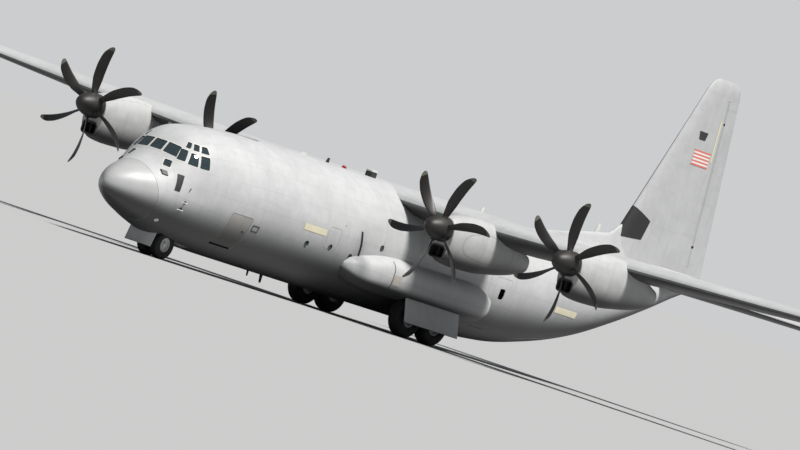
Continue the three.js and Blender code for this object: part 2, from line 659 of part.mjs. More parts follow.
function hinged({ body, region, span, from, to, lugs }) {
  const axis = to.place.clone().sub(from.place).normalize();
  const along = (place, distance) => place.clone().addScaledVector(axis, distance);
  const nose = rod(from.place, to.place, from.radius, to.radius, NOSE_SIDES).intersect(span(-NOSE_OVERLAP));
  const coveEnds = [along(from.place, -2 * RUNNING), along(to.place, 2 * RUNNING)];
  const coveRadii = [from.radius + COVE, to.radius + COVE];
  const cove = rod(...coveEnds, ...coveRadii, NOSE_SIDES).intersect(span(RUNNING));
  let fixed = cut(body, region(RUNNING), cove);
  let moving = join(body.intersect(region(0)), nose);
  for (const share of lugs) {
    const centre = from.place.clone().lerp(to.place, share);
    const radius = lerp(from.radius, to.radius, share);
    const half = LUG_WIDTH / 2;
    const slotHalf = half + RUNNING;
    const bar = (halfLength, size) => rod(along(centre, -halfLength), along(centre, halfLength), size);
    const reach = radius + COVE + ARM_ROOT;
    const thick = radius * LUG_SHARE * ARM_SHARE;
    const arm = lugArm(centre, axis, half, reach, thick);
    const lug = cut(join(bar(half, radius * LUG_SHARE), arm), bar(slotHalf, boreFor(radius * PIN_SHARE)));
    moving = join(
      cut(moving, bar(slotHalf, radius * SLOT_SHARE)),
      bar(slotHalf + PIN_ROOT, radius * PIN_SHARE),
    );
    fixed = join(fixed, lug);
  }
  return { fixed, moving };
}

const lineThrough = (fromAt, fromValue, toAt, toValue) => (at) =>
  lerp(fromValue, toValue, (at - fromAt) / (toAt - fromAt));

// A movable surface of the wing between two distances from the middle, on the left side. Its ends are square
// to its hinge, so that they stay in their gaps as it turns.
const WING_HINGE_SHARE = 0.75;
const SURFACE_REACH = 3;
function wingSurface(body, xLow, xHigh, lugs) {
  const from = wingPoint(xLow, WING_HINGE_SHARE);
  const to = wingPoint(xHigh, WING_HINGE_SHARE);
  const axis = to.place.clone().sub(from.place);
  const length = axis.length();
  axis.normalize();
  const aft = point(0, 1, 0).addScaledVector(axis, -axis.y).normalize();
  const frame = new THREE.Matrix4().makeBasis(axis, aft, axis.clone().cross(aft)).setPosition(from.place);
  const block = (extra, front) => {
    const geometry = new THREE.BoxGeometry(length + 2 * extra, SURFACE_REACH - front, SURFACE_REACH);
    geometry.translate(length / 2, (SURFACE_REACH + front) / 2, 0);
    geometry.applyMatrix4(frame);
    return solid(geometry);
  };
  const region = (extra) => block(extra, NOSE_OVERLAP - extra);
  const span = (extra) => block(extra, -SURFACE_REACH);
  return hinged({ body, region, span, from, to, lugs });
}

const INBOARD_FLAP = [2.42, 5.45];
const OUTBOARD_FLAP = [5.72, 12.3];
const AILERON = [12.44, 19.55];
const INBOARD_LUGS = [0.15, 0.85];
const OUTBOARD_LUGS = [0.12, 0.88];
const AILERON_LUGS = [0.12, 0.88];

function addWing() {
  const inboard = wingSurface(centreWingBody(0), ...INBOARD_FLAP, INBOARD_LUGS);
  const fixedHalf = inboard.fixed.intersect(box(0, 7, 10, 21, 2, 7));
  piece("centre_wing", both(fixedHalf), "paint");
  const outboard = wingSurface(loft(OUTER_RINGS(0)), ...OUTBOARD_FLAP, OUTBOARD_LUGS);
  const aileron = wingSurface(outboard.fixed, ...AILERON, AILERON_LUGS);
  for (const [side, turned] of [["left", (made) => made], ["right", mirrored]]) {
    piece(`outer_wing_${side}`, turned(aileron.fixed), "paint");
    piece(`inboard_flap_${side}`, turned(inboard.moving), "paint");
    piece(`outboard_flap_${side}`, turned(outboard.moving), "paint");
    piece(`aileron_${side}`, turned(aileron.moving), "paint");
  }
}

// Fin sections: height, leading edge, trailing edge.
const FIN = [
  [4.6, 27.95, 34.0],
  [11.25, 30.85, 32.87],
  [11.55, 31.08, 32.73],
  [11.72, 31.42, 32.32],
];
const FIN_THICKNESS = 0.11;
const FIN_HOLLOW_TOP = 10.7;
const finRatio = (row) => (row < 2 ? FIN_THICKNESS : FIN_THICKNESS * (row === 2 ? 0.8 : 0.3));
const RUDDER = { bottom: 5.22, top: 11.05, bottomHinge: 32.85, topHinge: 32.28 };
const DORSAL = [
  [23.4, 4.6],
  [23.4, 4.76],
  [25.2, 5.03],
  [27.0, 5.35],
  [27.95, 5.5],
  [28.75, 6.02],
  [29.6, 6.02],
  [29.6, 4.6],
];
const DORSAL_HALF_WIDTH = 0.11;

function finEdges(z) {
  const [[lowZ, lowLead, lowTrail], [highZ, highLead, highTrail]] = FIN;
  const share = (z - lowZ) / (highZ - lowZ);
  return { lead: lerp(lowLead, highLead, share), trail: lerp(lowTrail, highTrail, share) };
}

function addFin() {
  const rings = FIN.map(([z, lead, trail], row) =>
    airfoil(trail - lead, finRatio(row), 0, 0, 0).map(([aft, side]) => point(side, lead + aft, z)),
  );
  const dorsal = sidePrism(DORSAL, -DORSAL_HALF_WIDTH, DORSAL_HALF_WIDTH);
  const hollow = loft(
    [FIN[0][0], FIN_HOLLOW_TOP].map((z) => {
      const { lead, trail } = finEdges(z);
      return hollowSection(trail - lead, FIN_THICKNESS).map(([aft, side]) => point(side, lead + aft, z));
    }),
  );
  const body = cut(join(loft(rings), dorsal), FUSELAGE_GROWN, hollow);
  const hingeEnd = (z, y) => {
    const { lead, trail } = finEdges(z);
    const share = (y - lead) / (trail - lead);
    const half = halfThicknessAt(share, FIN_THICKNESS) * (trail - lead);
    return { place: point(0, y, z), radius: half * NOSE_SHARE };
  };
  const hingeY = lineThrough(RUDDER.bottom, RUDDER.bottomHinge, RUDDER.top, RUDDER.topHinge);
  const region = (extra) =>
    sidePrism(
      [
        [hingeY(RUDDER.bottom - extra) + NOSE_OVERLAP - extra, RUDDER.bottom - extra],
        [36, RUDDER.bottom - extra],
        [36, RUDDER.top + extra],
        [hingeY(RUDDER.top + extra) + NOSE_OVERLAP - extra, RUDDER.top + extra],
      ],
      -1,
      1,
    );
  const span = (extra) => box(-1, 1, 27, 36, RUDDER.bottom - extra, RUDDER.top + extra);
  const from = hingeEnd(RUDDER.bottom, RUDDER.bottomHinge);
  const to = hingeEnd(RUDDER.top, RUDDER.topHinge);
  const { fixed, moving } = hinged({ body, region, span, from, to, lugs: [0.12, 0.86] });
  piece("fin", fixed, "paint");
  piece("rudder", moving, "paint");
}

// Tailplane: distance from the middle, leading edge, trailing edge, thickness ratio.
const TAIL_Z = 4.5;
const TAILPLANE = [
  [0.2, 29.85, 34.02, 0.12],
  [7.8, 31.3, 33.42, 0.1],
  [8.025, 31.75, 33.1, 0.06],
];
const TAILPLANE_HOLLOW_END = 7.3;
const ELEVATOR = { inner: 0.78, outer: 7.7, innerHinge: 32.86, outerHinge: 32.72, slant: 0.12 };

function tailSection(x) {
  const [[lowX, lowLead, lowTrail, lowRatio], [highX, highLead, highTrail, highRatio]] = TAILPLANE;
  const share = (x - lowX) / (highX - lowX);
  const lead = lerp(lowLead, highLead, share);
  return { lead, chord: lerp(lowTrail, highTrail, share) - lead, ratio: lerp(lowRatio, highRatio, share) };
}

function tailPoint(x, y) {
  const { lead, chord, ratio } = tailSection(x);
  const half = halfThicknessAt((y - lead) / chord, ratio) * chord;
  return { place: point(x, y, TAIL_Z), radius: half * NOSE_SHARE };
}

function addTailplane() {
  const rings = TAILPLANE.map(([x, lead, trail, ratio]) =>
    airfoil(trail - lead, ratio, 0, 0, 0).map(([aft, up]) => point(x, lead + aft, TAIL_Z + up)),
  );
  const hollowRings = [0.2, TAILPLANE_HOLLOW_END].map((x) => {
    const { lead, chord, ratio } = tailSection(x);
    return hollowSection(chord, ratio).map(([aft, up]) => point(x, lead + aft, TAIL_Z + up));
  });
  const body = cut(loft(rings), loft(hollowRings));
  const hingeY = lineThrough(ELEVATOR.inner, ELEVATOR.innerHinge, ELEVATOR.outer, ELEVATOR.outerHinge);
  const region = (extra) =>
    planPrism(
      [
        [ELEVATOR.inner - extra, hingeY(ELEVATOR.inner - extra) + NOSE_OVERLAP - extra],
        [ELEVATOR.outer + extra, hingeY(ELEVATOR.outer + extra) + NOSE_OVERLAP - extra],
        [ELEVATOR.outer + extra, 36],
        [ELEVATOR.inner + ELEVATOR.slant - extra, 36],
      ],
      3,
      6,
    );
  const span = (extra) => box(ELEVATOR.inner - extra, ELEVATOR.outer + extra, 28, 36, 3, 6);
  const from = tailPoint(ELEVATOR.inner, ELEVATOR.innerHinge);
  const to = tailPoint(ELEVATOR.outer, ELEVATOR.outerHinge);
  const { fixed, moving } = hinged({ body, region, span, from, to, lugs: [0.1, 0.9] });
  piece("tailplane_left", cut(fixed, FUSELAGE_GROWN), "paint");
  piece("tailplane_right", cut(mirrored(fixed), FUSELAGE_GROWN), "paint");
  piece("elevator_left", moving, "paint");
  piece("elevator_right", mirrored(moving), "paint");
}

// Nacelle sections: distance behind the propeller plane, half width, height above and depth below the shaft.
const NACELLE = [
  [0.32, 0.43, 0.43, 0.98],
  [0.6, 0.51, 0.53, 1.08],
  [1.2, 0.58, 0.64, 1.12],
  [2.2, 0.61, 0.7, 1.1],
  [3.1, 0.6, 0.66, 1.0],
  [4.0, 0.52, 0.42, 0.86],
  [4.6, 0.42, 0.2, 0.72],
  [5.1, 0.3, 0.04, 0.58],
];
const NACELLE_POINTS = 14;
const NACELLE_ROUNDNESS = 2.3;
const NACELLE_WALL = 0.06;
const NACELLE_HOLLOW = [0.45, 2.9];
const INTAKE = { halfWidth: 0.27, top: -0.56, bottom: -0.92, depth: 0.6 };
const EXHAUST = { start: 2.7, end: 5.3, startDrop: -0.5, endDrop: -0.3, radius: 0.19 };
const SHAFT_RADIUS = 0.12;
const ENGINE_BLOCK = { halfWidth: 0.3, front: 0.75, back: 2.2, bottom: -0.42, top: 0.3 };

function nacelleRing([back, halfWidth, above, below], inset) {
  const ring = [];
  const middle = (above - below) / 2;
  const halfHeight = (above + below) / 2 - inset;
  for (let i = 0; i < NACELLE_POINTS; i++) {
    const angle = (i / NACELLE_POINTS) * 2 * Math.PI;
    const across = Math.sign(Math.cos(angle)) * Math.abs(Math.cos(angle)) ** (2 / NACELLE_ROUNDNESS);
    const up = Math.sign(Math.sin(angle)) * Math.abs(Math.sin(angle)) ** (2 / NACELLE_ROUNDNESS);
    ring.push(point(across * (halfWidth - inset), PROPELLER_Y + back, middle + up * halfHeight));
  }
  return ring;
}

function largest(made) {
  return made.decompose().reduce((best, next) => (next.volume() > best.volume() ? next : best));
}

const SHAFT_BORE_DEPTH = 0.6;
function nacelle(x, z, wingTool) {
  const body = loft(NACELLE.map((row) => nacelleRing(row, 0)));
  const hollow = loft(NACELLE.map((row) => nacelleRing(row, NACELLE_WALL))).intersect(
    box(-2, 2, PROPELLER_Y + NACELLE_HOLLOW[0], PROPELLER_Y + NACELLE_HOLLOW[1], -3, 3),
  );
  const intake = frontPrism(
    rectangle(-INTAKE.halfWidth, INTAKE.halfWidth, INTAKE.bottom, INTAKE.top),
    PROPELLER_Y,
    PROPELLER_Y + INTAKE.depth,
  );
  const exhaust = rod(
    point(0, PROPELLER_Y + EXHAUST.start, EXHAUST.startDrop),
    point(0, PROPELLER_Y + EXHAUST.end, EXHAUST.endDrop),
    EXHAUST.radius,
  );
  const shaftBore = rod(
    point(0, PROPELLER_Y, 0),
    point(0, PROPELLER_Y + SHAFT_BORE_DEPTH, 0),
    boreFor(SHAFT_RADIUS),
  );
  const placed = cut(body, hollow, intake, exhaust, shaftBore).translate([x, 0, z]);
  return largest(cut(placed, wingTool));
}

// Engine block in its bay, resting on the bay's floor by two feet.
const ENGINE_FEET = { halfWidth: 0.2, inset: 0.2, overlap: 0.05 };
function engineBlock(x, z) {
  const { halfWidth, front, back, bottom, top } = ENGINE_BLOCK;
  const block = box(-halfWidth, halfWidth, PROPELLER_Y + front, PROPELLER_Y + back, bottom, top);
  const { inset, overlap } = ENGINE_FEET;
  const feet = box(
    -ENGINE_FEET.halfWidth,
    ENGINE_FEET.halfWidth,
    PROPELLER_Y + front + inset,
    PROPELLER_Y + back - inset,
    -2,
    bottom + overlap,
  );
  const inside = loft(NACELLE.map((row) => nacelleRing(row, NACELLE_WALL + TOUCH)));
  return join(block, feet.intersect(inside)).translate([x, 0, z]);
}

// Propeller: spinner outline as radius and distance behind the blade plane; blade stations as radius, chord,
// lag of the middle line behind the root, thickness ratio and pitch in degrees.
const SPINNER = [
  [0.0, -0.72],
  [0.12, -0.68],
  [0.22, -0.58],
  [0.31, -0.42],
  [0.38, -0.22],
  [0.415, 0.0],
  [0.42, 0.27],
  [0.0, 0.27],
];
const BLADE = [
  [0.25, 0.16, 0.0, 0.9, 60],
  [0.62, 0.27, -0.02, 0.2, 54],
  [0.95, 0.35, -0.03, 0.1, 47],
  [1.35, 0.36, 0.0, 0.07, 39],
  [1.78, 0.32, 0.1, 0.055, 33],
  [PROPELLER_RADIUS, 0.16, 0.25, 0.05, 30],
];
const BLADE_POINTS = 5;

function bladeRing([radius, chord, lag, ratio, pitch]) {
  const ring = [];
  for (let i = 0; i < BLADE_POINTS; i++) {
    const angle = (i / BLADE_POINTS) * 2 * Math.PI;
    const ahead = (Math.cos(angle) * chord) / 2;
    const thick = (Math.sin(angle) * chord * ratio) / 2;
    const across = ahead * Math.cos(degrees(pitch)) + thick * Math.sin(degrees(pitch)) - lag;
    const forward = ahead * Math.sin(degrees(pitch)) - thick * Math.cos(degrees(pitch));
    ring.push(point(radius, -forward, across));
  }
  return ring;
}

function propeller(tipAngle) {
  const lastLag = BLADE[BLADE.length - 1][2];
  const rootAngle = tipAngle + THREE.MathUtils.radToDeg(Math.asin(lastLag / PROPELLER_RADIUS));
  const profile = SPINNER.map(([radius, back]) => new THREE.Vector2(radius, back));
  const spinner = solid(new THREE.LatheGeometry(profile, 12));
  const shaft = rod(point(0, 0, 0), point(0, NACELLE_HOLLOW[0] + 0.05, 0), SHAFT_RADIUS);
  const blade = loft(BLADE.map(bladeRing));
  const blades = [];
  for (let i = 0; i < BLADE_COUNT; i++) {
    blades.push(blade.rotate([0, -(rootAngle + (i * 360) / BLADE_COUNT), 0]));
  }
  return join(spinner, shaft, ...blades);
}

// Wheels turn on x. A tyre's outline runs round its section; a wheel's closes on its bore.
const TYRE_SHAPE = [
  [-0.5, 0.66],
  [-0.47, 0.88],
  [-0.3, 1.0],
  [0.3, 1.0],
  [0.47, 0.88],
  [0.5, 0.66],
];
const WHEEL_SEGMENTS = 16;
const RIM_SHARE = 0.48;
const HUB_SHARE = 0.2;
const AXLE_RADIUS = 0.06;
const NOSE_HUB_BORE = AXLE_RADIUS * 0.9;
const BEAD_GRIP = 0.01;

function lathedOnX(profile) {
  const closed = [...profile, profile[0]].map(([across, radius]) => new THREE.Vector2(radius, across));
  const geometry = new THREE.LatheGeometry(closed, WHEEL_SEGMENTS);
  geometry.rotateZ(-Math.PI / 2);
  return solid(geometry);
}

// A tyre whose beads lie a gap outside the rim.
function tyre(radius, width, gap) {
  const bead = radius * RIM_SHARE + gap;
  return lathedOnX([
    [-0.4 * width, bead],
    ...TYRE_SHAPE.map(([across, out]) => [across * width, out * radius]),
    [0.4 * width, bead],
  ]);
}

function wheel(radius, width, bore) {
  const rim = radius * RIM_SHARE;
  const hub = radius * HUB_SHARE;
  return lathedOnX([
    [-0.4 * width, bore],
    [-0.4 * width, hub],
    [-0.15 * width, rim * 0.88],
    [-0.4 * width, rim * 0.88],
    [-0.4 * width, rim],
    [0.4 * width, rim],
    [0.4 * width, rim * 0.88],
    [0.15 * width, rim * 0.88],
    [0.4 * width, hub],
    [0.4 * width, bore],
  ]);
}

// Main gear leg of the left side: two struts in tandem, their axles, and the bar that joins them.
const STRUT = { x: 1.79, outerRadius: 0.115, pistonRadius: 0.075, split: 1.25, overlap: 0.05, foot: 0.1 };
const AXLE_REACH = 0.42;
const BAR_RISE = 0.15;
const BAR_RADIUS = 0.045;

function mainLeg() {
  const parts = MAIN_WHEEL_Y.flatMap((y) => [
    rod(point(STRUT.x, y, STRUT.split), point(STRUT.x, y, WHEEL_WELL.top - TOUCH), STRUT.outerRadius),
    rod(
      point(STRUT.x, y, MAIN_TYRE_RADIUS - STRUT.foot),
      point(STRUT.x, y, STRUT.split + STRUT.overlap),
      STRUT.pistonRadius,
    ),
    rod(
      point(STRUT.x, y, MAIN_TYRE_RADIUS),
      point(MAIN_TRACK / 2 + AXLE_REACH * MAIN_TYRE_WIDTH, y, MAIN_TYRE_RADIUS),
      AXLE_RADIUS,
      AXLE_RADIUS,
      WHEEL_SEGMENTS,
    ),
  ]);
  const [front, back] = MAIN_WHEEL_Y.map((y) => point(STRUT.x, y, STRUT.split + BAR_RISE));
  return join(...parts, rod(front, back, BAR_RADIUS));
}

// Nose gear: a fixed leg with its brace, and below it the steered piston with the axle.
const NOSE_LEG = { radius: 0.09, bottom: 0.8, pistonRadius: 0.06, pistonTop: 1.05 };
const NOSE_BRACE = { bottom: 1.12, inset: 0.1, drop: 0.06, radius: 0.04 };
const NOSE_BORE_START = 0.1;
const NOSE_AXLE_HALF = 0.42;
const NOSE_SLEEVE = { half: 0.095, radius: 0.1 };

function noseLeg() {
  const leg = rod(
    point(0, NOSE_WHEEL_Y, NOSE_LEG.bottom),
    point(0, NOSE_WHEEL_Y, NOSE_BAY.roof - TOUCH),
    NOSE_LEG.radius,
  );
  const brace = rod(
    point(0, NOSE_WHEEL_Y, NOSE_BRACE.bottom),
    point(0, NOSE_BAY.front + NOSE_BRACE.inset, NOSE_BAY.roof - NOSE_BRACE.drop),
    NOSE_BRACE.radius,
  );
  const bore = rod(
    point(0, NOSE_WHEEL_Y, NOSE_LEG.bottom - NOSE_BORE_START),
    point(0, NOSE_WHEEL_Y, NOSE_LEG.pistonTop + RUNNING),
    boreFor(NOSE_LEG.pistonRadius),
  );
  return cut(join(leg, brace), bore);
}

function noseFork() {
  const piston = rod(
    point(0, NOSE_WHEEL_Y, NOSE_TYRE_RADIUS),
    point(0, NOSE_WHEEL_Y, NOSE_LEG.pistonTop),
    NOSE_LEG.pistonRadius,
  );
  const sleeve = noseCrossRod(NOSE_SLEEVE.half, NOSE_SLEEVE.radius);
  return cut(join(piston, sleeve), noseCrossRod(1, boreFor(AXLE_RADIUS, WHEEL_SEGMENTS)));
}

// A round bar across the nose gear, on the line of its wheels.
const noseCrossRod = (half, radius) =>
  rod(
    point(-half, NOSE_WHEEL_Y, NOSE_TYRE_RADIUS),
    point(half, NOSE_WHEEL_Y, NOSE_TYRE_RADIUS),
    radius,
    radius,
    WHEEL_SEGMENTS,
  );

// The twin nose wheels turn together with their axle.
function noseWheels() {
  const axle = noseCrossRod(NOSE_AXLE_HALF, AXLE_RADIUS);
  const discs = [NOSE_WHEEL_X, -NOSE_WHEEL_X].map((x) =>
    wheel(NOSE_TYRE_RADIUS, NOSE_TYRE_WIDTH, NOSE_HUB_BORE).translate([x, NOSE_WHEEL_Y, NOSE_TYRE_RADIUS]),
  );
  return join(axle, ...discs);
}

// Gear doors, fixed as they stand with the gear down.
const MAIN_DOOR = [[2.5, 1.3], [2.55, 1.3], [2.78, 0.52], [2.74, 0.5]];
const NOSE_FRONT_DOOR = [[2.86, 0.95], [2.9, 0.95], [2.76, 0.3], [2.73, 0.31]];

function mainDoor() {
  const grownRows = FAIRING.map(([y, outer, bottom, top]) => {
    return [y, outer + TOUCH, bottom - TOUCH, top + TOUCH];
  });
  const panel = frontPrism(MAIN_DOOR, WHEEL_WELL.front + 0.05, WHEEL_WELL.back - 0.05);
  return cut(panel, loft(grownRows.map(fairingRing)));
}

function noseDoor() {
  return cut(sidePrism(NOSE_FRONT_DOOR, -0.55, 0.55), FUSELAGE_GROWN);
}

// Flight deck, seen through the windows and the crew door.
const DECK = { front: 2.3, bottom: 2.0, top: 2.06 };
const STAIRWELL = { left: 2, right: 0.15, front: 4.45 };
const BULKHEAD = { front: 5.82, back: 5.9 };
const BULKHEAD_DOOR = rectangle(-0.95, -0.2, 1.2, 3.1);
const SEAT_X = 0.62;
const SEAT_Y = 3.25;

function insideCockpit() {
  return loft(NOSE_ROWS.map((row) => fuselageRing(row, WALL + GLASS_THICKNESS + TOUCH)));
}

// The deck, open over the stairs inside the crew door, and the bulkhead behind it.
function flightDeck() {
  const deck = cut(
    box(-2, 2, DECK.front, BULKHEAD.back, DECK.bottom, DECK.top),
    box(STAIRWELL.right, STAIRWELL.left, STAIRWELL.front, BULKHEAD.front, 1, 3),
  );
  const wall = cut(slab(BULKHEAD.front, BULKHEAD.back), frontPrism(BULKHEAD_DOOR, 5, 6.5));
  return join(deck, wall).intersect(loft(NOSE_ROWS.map((row) => fuselageRing(row, WALL + TOUCH))));
}

// Boxes across the middle of the flight deck: half width, front, back, bottom, top; the seat's from SEAT_Y.
const PANEL_BOXES = [
  [1.2, 2.42, 2.62, 2.7, 3.12],
  [1.2, 2.42, 2.75, 3.12, 3.16],
  [0.24, 2.5, 3.3, DECK.top + TOUCH, 2.72],
];
const SEAT_BOXES = [
  [0.15, -0.15, 0.18, DECK.top + TOUCH, 2.45],
  [0.25, -0.25, 0.27, 2.42, 2.55],
  [0.24, 0.2, 0.32, 2.5, 3.2],
  [0.14, 0.22, 0.3, 3.15, 3.4],
];
const SEAT_RAIL = [SEAT_X, 0.08, 0.13, DECK.top + TOUCH, DECK.top + 0.03];
const centredBox = ([halfWidth, ...sides]) => box(-halfWidth, halfWidth, ...sides);

function instrumentPanel() {
  return join(...PANEL_BOXES.map(centredBox)).intersect(insideCockpit());
}

function crewSeats() {
  const seat = join(...SEAT_BOXES.map(centredBox));
  const seats = join(centredBox(SEAT_RAIL), ...[-SEAT_X, SEAT_X].map((x) => seat.translate([x, 0, 0])));
  return seats.translate([0, SEAT_Y, 0]);
}

// Assembly
const wingTool = centreWingBody(TOUCH);
const wholeWingTool = join(wingTool, both(loft(OUTER_RINGS(TOUCH))));

piece("radome", FUSELAGE_SKIN.intersect(seamTool(0)), "radome");
piece("nose_section", noseSection(), "paint");
piece("cockpit_glass", cockpitGlass(), "glass");
piece("flight_deck", flightDeck(), "interior");
piece("instrument_panel", instrumentPanel(), "panel");
piece("crew_seats", crewSeats(), "seat");
piece("crew_door", crewDoor(), "paint");
piece("forward_fuselage", SHELL.intersect(slab(COCKPIT_END, CENTRE_START)), "paint");
piece("centre_fuselage", centreFuselage(wingTool), "paint");
piece("aft_fuselage", aftFuselage(), "paint");
piece("tail_cone", AFT_SHELL.intersect(slab(TAIL_CONE_START, 36)), "paint");
piece("cargo_floor", cargoFloor(), "interior");
piece("paratroop_door_left", paratroopDoor(1), "paint");
piece("paratroop_door_right", paratroopDoor(-1), "paint");
piece("ramp", ramp(), "paint");
piece("cargo_door", cargoDoor(), "paint");
piece("wheel_fairing_left", fairing(1), "paint");
piece("wheel_fairing_right", fairing(-1), "paint");
addWing();
addFin();
addTailplane();

ENGINE_X.forEach((x, i) => {
  const number = i + 1;
  piece(`nacelle_${number}`, nacelle(x, PROPELLER_Z[i], wholeWingTool), "paint");
  piece(`engine_${number}`, engineBlock(x, PROPELLER_Z[i]), "engine");
  const hub = point(x, PROPELLER_Y, PROPELLER_Z[i]);
  piece(`propeller_${number}`, propeller(BLADE_START_ANGLES[i]), "blade", hub);
});

piece("nose_gear_leg", noseLeg(), "steel");
piece("nose_fork", noseFork(), "steel");
piece("nose_wheels", noseWheels(), "wheel");
for (const [side, sign] of [["left", 1], ["right", -1]]) {
  const turned = sign > 0 ? (made) => made : mirrored;
  const nosePlace = point(sign * NOSE_WHEEL_X, NOSE_WHEEL_Y, NOSE_TYRE_RADIUS);
  piece(`nose_tyre_${side}`, tyre(NOSE_TYRE_RADIUS, NOSE_TYRE_WIDTH, TOUCH), "rubber", nosePlace);
  piece(`main_gear_leg_${side}`, turned(mainLeg()), "steel");
  piece(`main_gear_door_${side}`, turned(mainDoor()), "paint");
  ["front", "rear"].forEach((row, i) => {
    const place = point((sign * MAIN_TRACK) / 2, MAIN_WHEEL_Y[i], MAIN_TYRE_RADIUS);
    const disc = wheel(MAIN_TYRE_RADIUS, MAIN_TYRE_WIDTH, boreFor(AXLE_RADIUS, WHEEL_SEGMENTS));
    const rubber = tyre(MAIN_TYRE_RADIUS, MAIN_TYRE_WIDTH, -BEAD_GRIP);
    piece(`main_wheel_${row}_${side}`, join(disc, rubber), "rubber", place);
  });
}
piece("nose_gear_door", noseDoor(), "paint");

export default aircraft;
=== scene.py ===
# %% [markdown]
# # Military transport plane with four propellers, at half size
# The real aircraft is a high-wing transport: a round pressurised hull, a straight wing with four
# turboprops, a loading ramp under the tail, and gear that stands in fairings on the hull's sides. The
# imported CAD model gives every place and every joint. The scene lays fine skins, details and paint round it,
# piece by piece.

# %% Load the frame
import math
from functools import partial

import bpy
from mathutils import Matrix, Vector


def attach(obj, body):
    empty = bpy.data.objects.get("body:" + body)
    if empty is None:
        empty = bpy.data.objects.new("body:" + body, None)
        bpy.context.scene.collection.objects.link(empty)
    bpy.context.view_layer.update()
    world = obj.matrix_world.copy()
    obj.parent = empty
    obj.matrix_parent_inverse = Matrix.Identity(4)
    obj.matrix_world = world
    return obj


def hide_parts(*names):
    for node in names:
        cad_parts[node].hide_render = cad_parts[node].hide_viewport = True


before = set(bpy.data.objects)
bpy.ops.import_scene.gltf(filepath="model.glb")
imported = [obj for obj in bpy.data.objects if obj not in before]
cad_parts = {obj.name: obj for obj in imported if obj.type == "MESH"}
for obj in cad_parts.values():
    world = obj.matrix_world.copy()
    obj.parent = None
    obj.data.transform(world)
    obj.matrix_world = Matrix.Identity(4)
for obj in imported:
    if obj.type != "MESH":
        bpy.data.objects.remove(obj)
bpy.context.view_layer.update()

# %% [markdown]
# ## Sizes
# The tables below are in metres of the full-size aircraft, as a loftsman would write them: x to the left
# side, y aft from the nose tip and z up from the ground. Working in the real sizes keeps each number easy
# to compare with the aircraft, and one function turns a place into the half-size model's frame.

# %% From the aircraft's metres to the model's
HALF = 0.5
LENGTH = 34.37
SPAN = 40.41
SIDES = (("left", 1, (1, 0, 0)), ("right", -1, (-1, 0, 0)))


def at(x, y, z):
    return Vector((x * HALF, (y - LENGTH / 2) * HALF, z * HALF))


def lerp(a, b, t):
    return a + (b - a) * t


def spaced(a, b, steps):
    return [lerp(a, b, i / steps) for i in range(steps + 1)]


# %% [markdown]
# ## Camera
# The photograph was taken with a long lens from far away, ahead of the left wing and level with the
# aircraft, and the picture leans. A camera could be placed by eye, but here its direction, distance and
# lean come from known points such as the propeller hubs, so the same long lens is used and the lines fall
# where they should.

# %% Place the camera
CAMERA_AZIMUTH = math.radians(35.86)
CAMERA_ELEVATION = math.radians(0.08)
CAMERA_LEAN = math.radians(18.35)
CAMERA_DISTANCE = 248.0
SENSOR_WIDTH = 36
LENS = 671
SEEN_TO = 3000
AIM = at(0, 15, 3.5)
AIM_RIGHT = 0.371
AIM_UP = -0.113

toward = Vector((
    math.sin(CAMERA_AZIMUTH) * math.cos(CAMERA_ELEVATION),
    -math.cos(CAMERA_AZIMUTH) * math.cos(CAMERA_ELEVATION),
    math.sin(CAMERA_ELEVATION),
))
level_right = Vector((0, 0, 1)).cross(toward).normalized()
level_up = toward.cross(level_right)
right = level_right * math.cos(CAMERA_LEAN) + level_up * math.sin(CAMERA_LEAN)
up = level_up * math.cos(CAMERA_LEAN) - level_right * math.sin(CAMERA_LEAN)
camera_data = bpy.data.cameras.new("camera")
camera_data.sensor_width = SENSOR_WIDTH
camera_data.lens = LENS
camera_data.clip_end = SEEN_TO
camera = bpy.data.objects.new("camera", camera_data)
bpy.context.scene.collection.objects.link(camera)
place = AIM + right * AIM_RIGHT + up * AIM_UP + toward * CAMERA_DISTANCE
turn = Matrix((right, up, toward)).transposed().to_4x4()
camera.matrix_world = Matrix.Translation(place) @ turn
bpy.context.scene.camera = camera
print("camera at", [round(c, 2) for c in place])

# %% [markdown]
# ## Floor and light
# The model stands on a plain pale floor under soft light. Lamps near the model would leave the far floor
# dark, so the light comes from an even sky and one broad sun above the left side, which reach everywhere
# alike.

# %% Floor, sky and sun
FLOOR_SIZE = 2400
FLOOR_GREY = (0.39, 0.395, 0.4, 1)
bpy.ops.object.select_all(action="DESELECT")
bpy.ops.mesh.primitive_plane_add(size=FLOOR_SIZE, location=(0, 0, 0))
floor = bpy.context.object
floor.name = "floor"
floor_paint = bpy.data.materials.new("floor_paint")
floor_paint.use_nodes = True
floor_shader = floor_paint.node_tree.nodes["Principled BSDF"]
floor_shader.inputs["Base Color"].default_value = FLOOR_GREY
floor_shader.inputs["Roughness"].default_value = 1.0
floor_shader.inputs["Specular IOR Level"].default_value = 0.0
floor.data.materials.append(floor_paint)

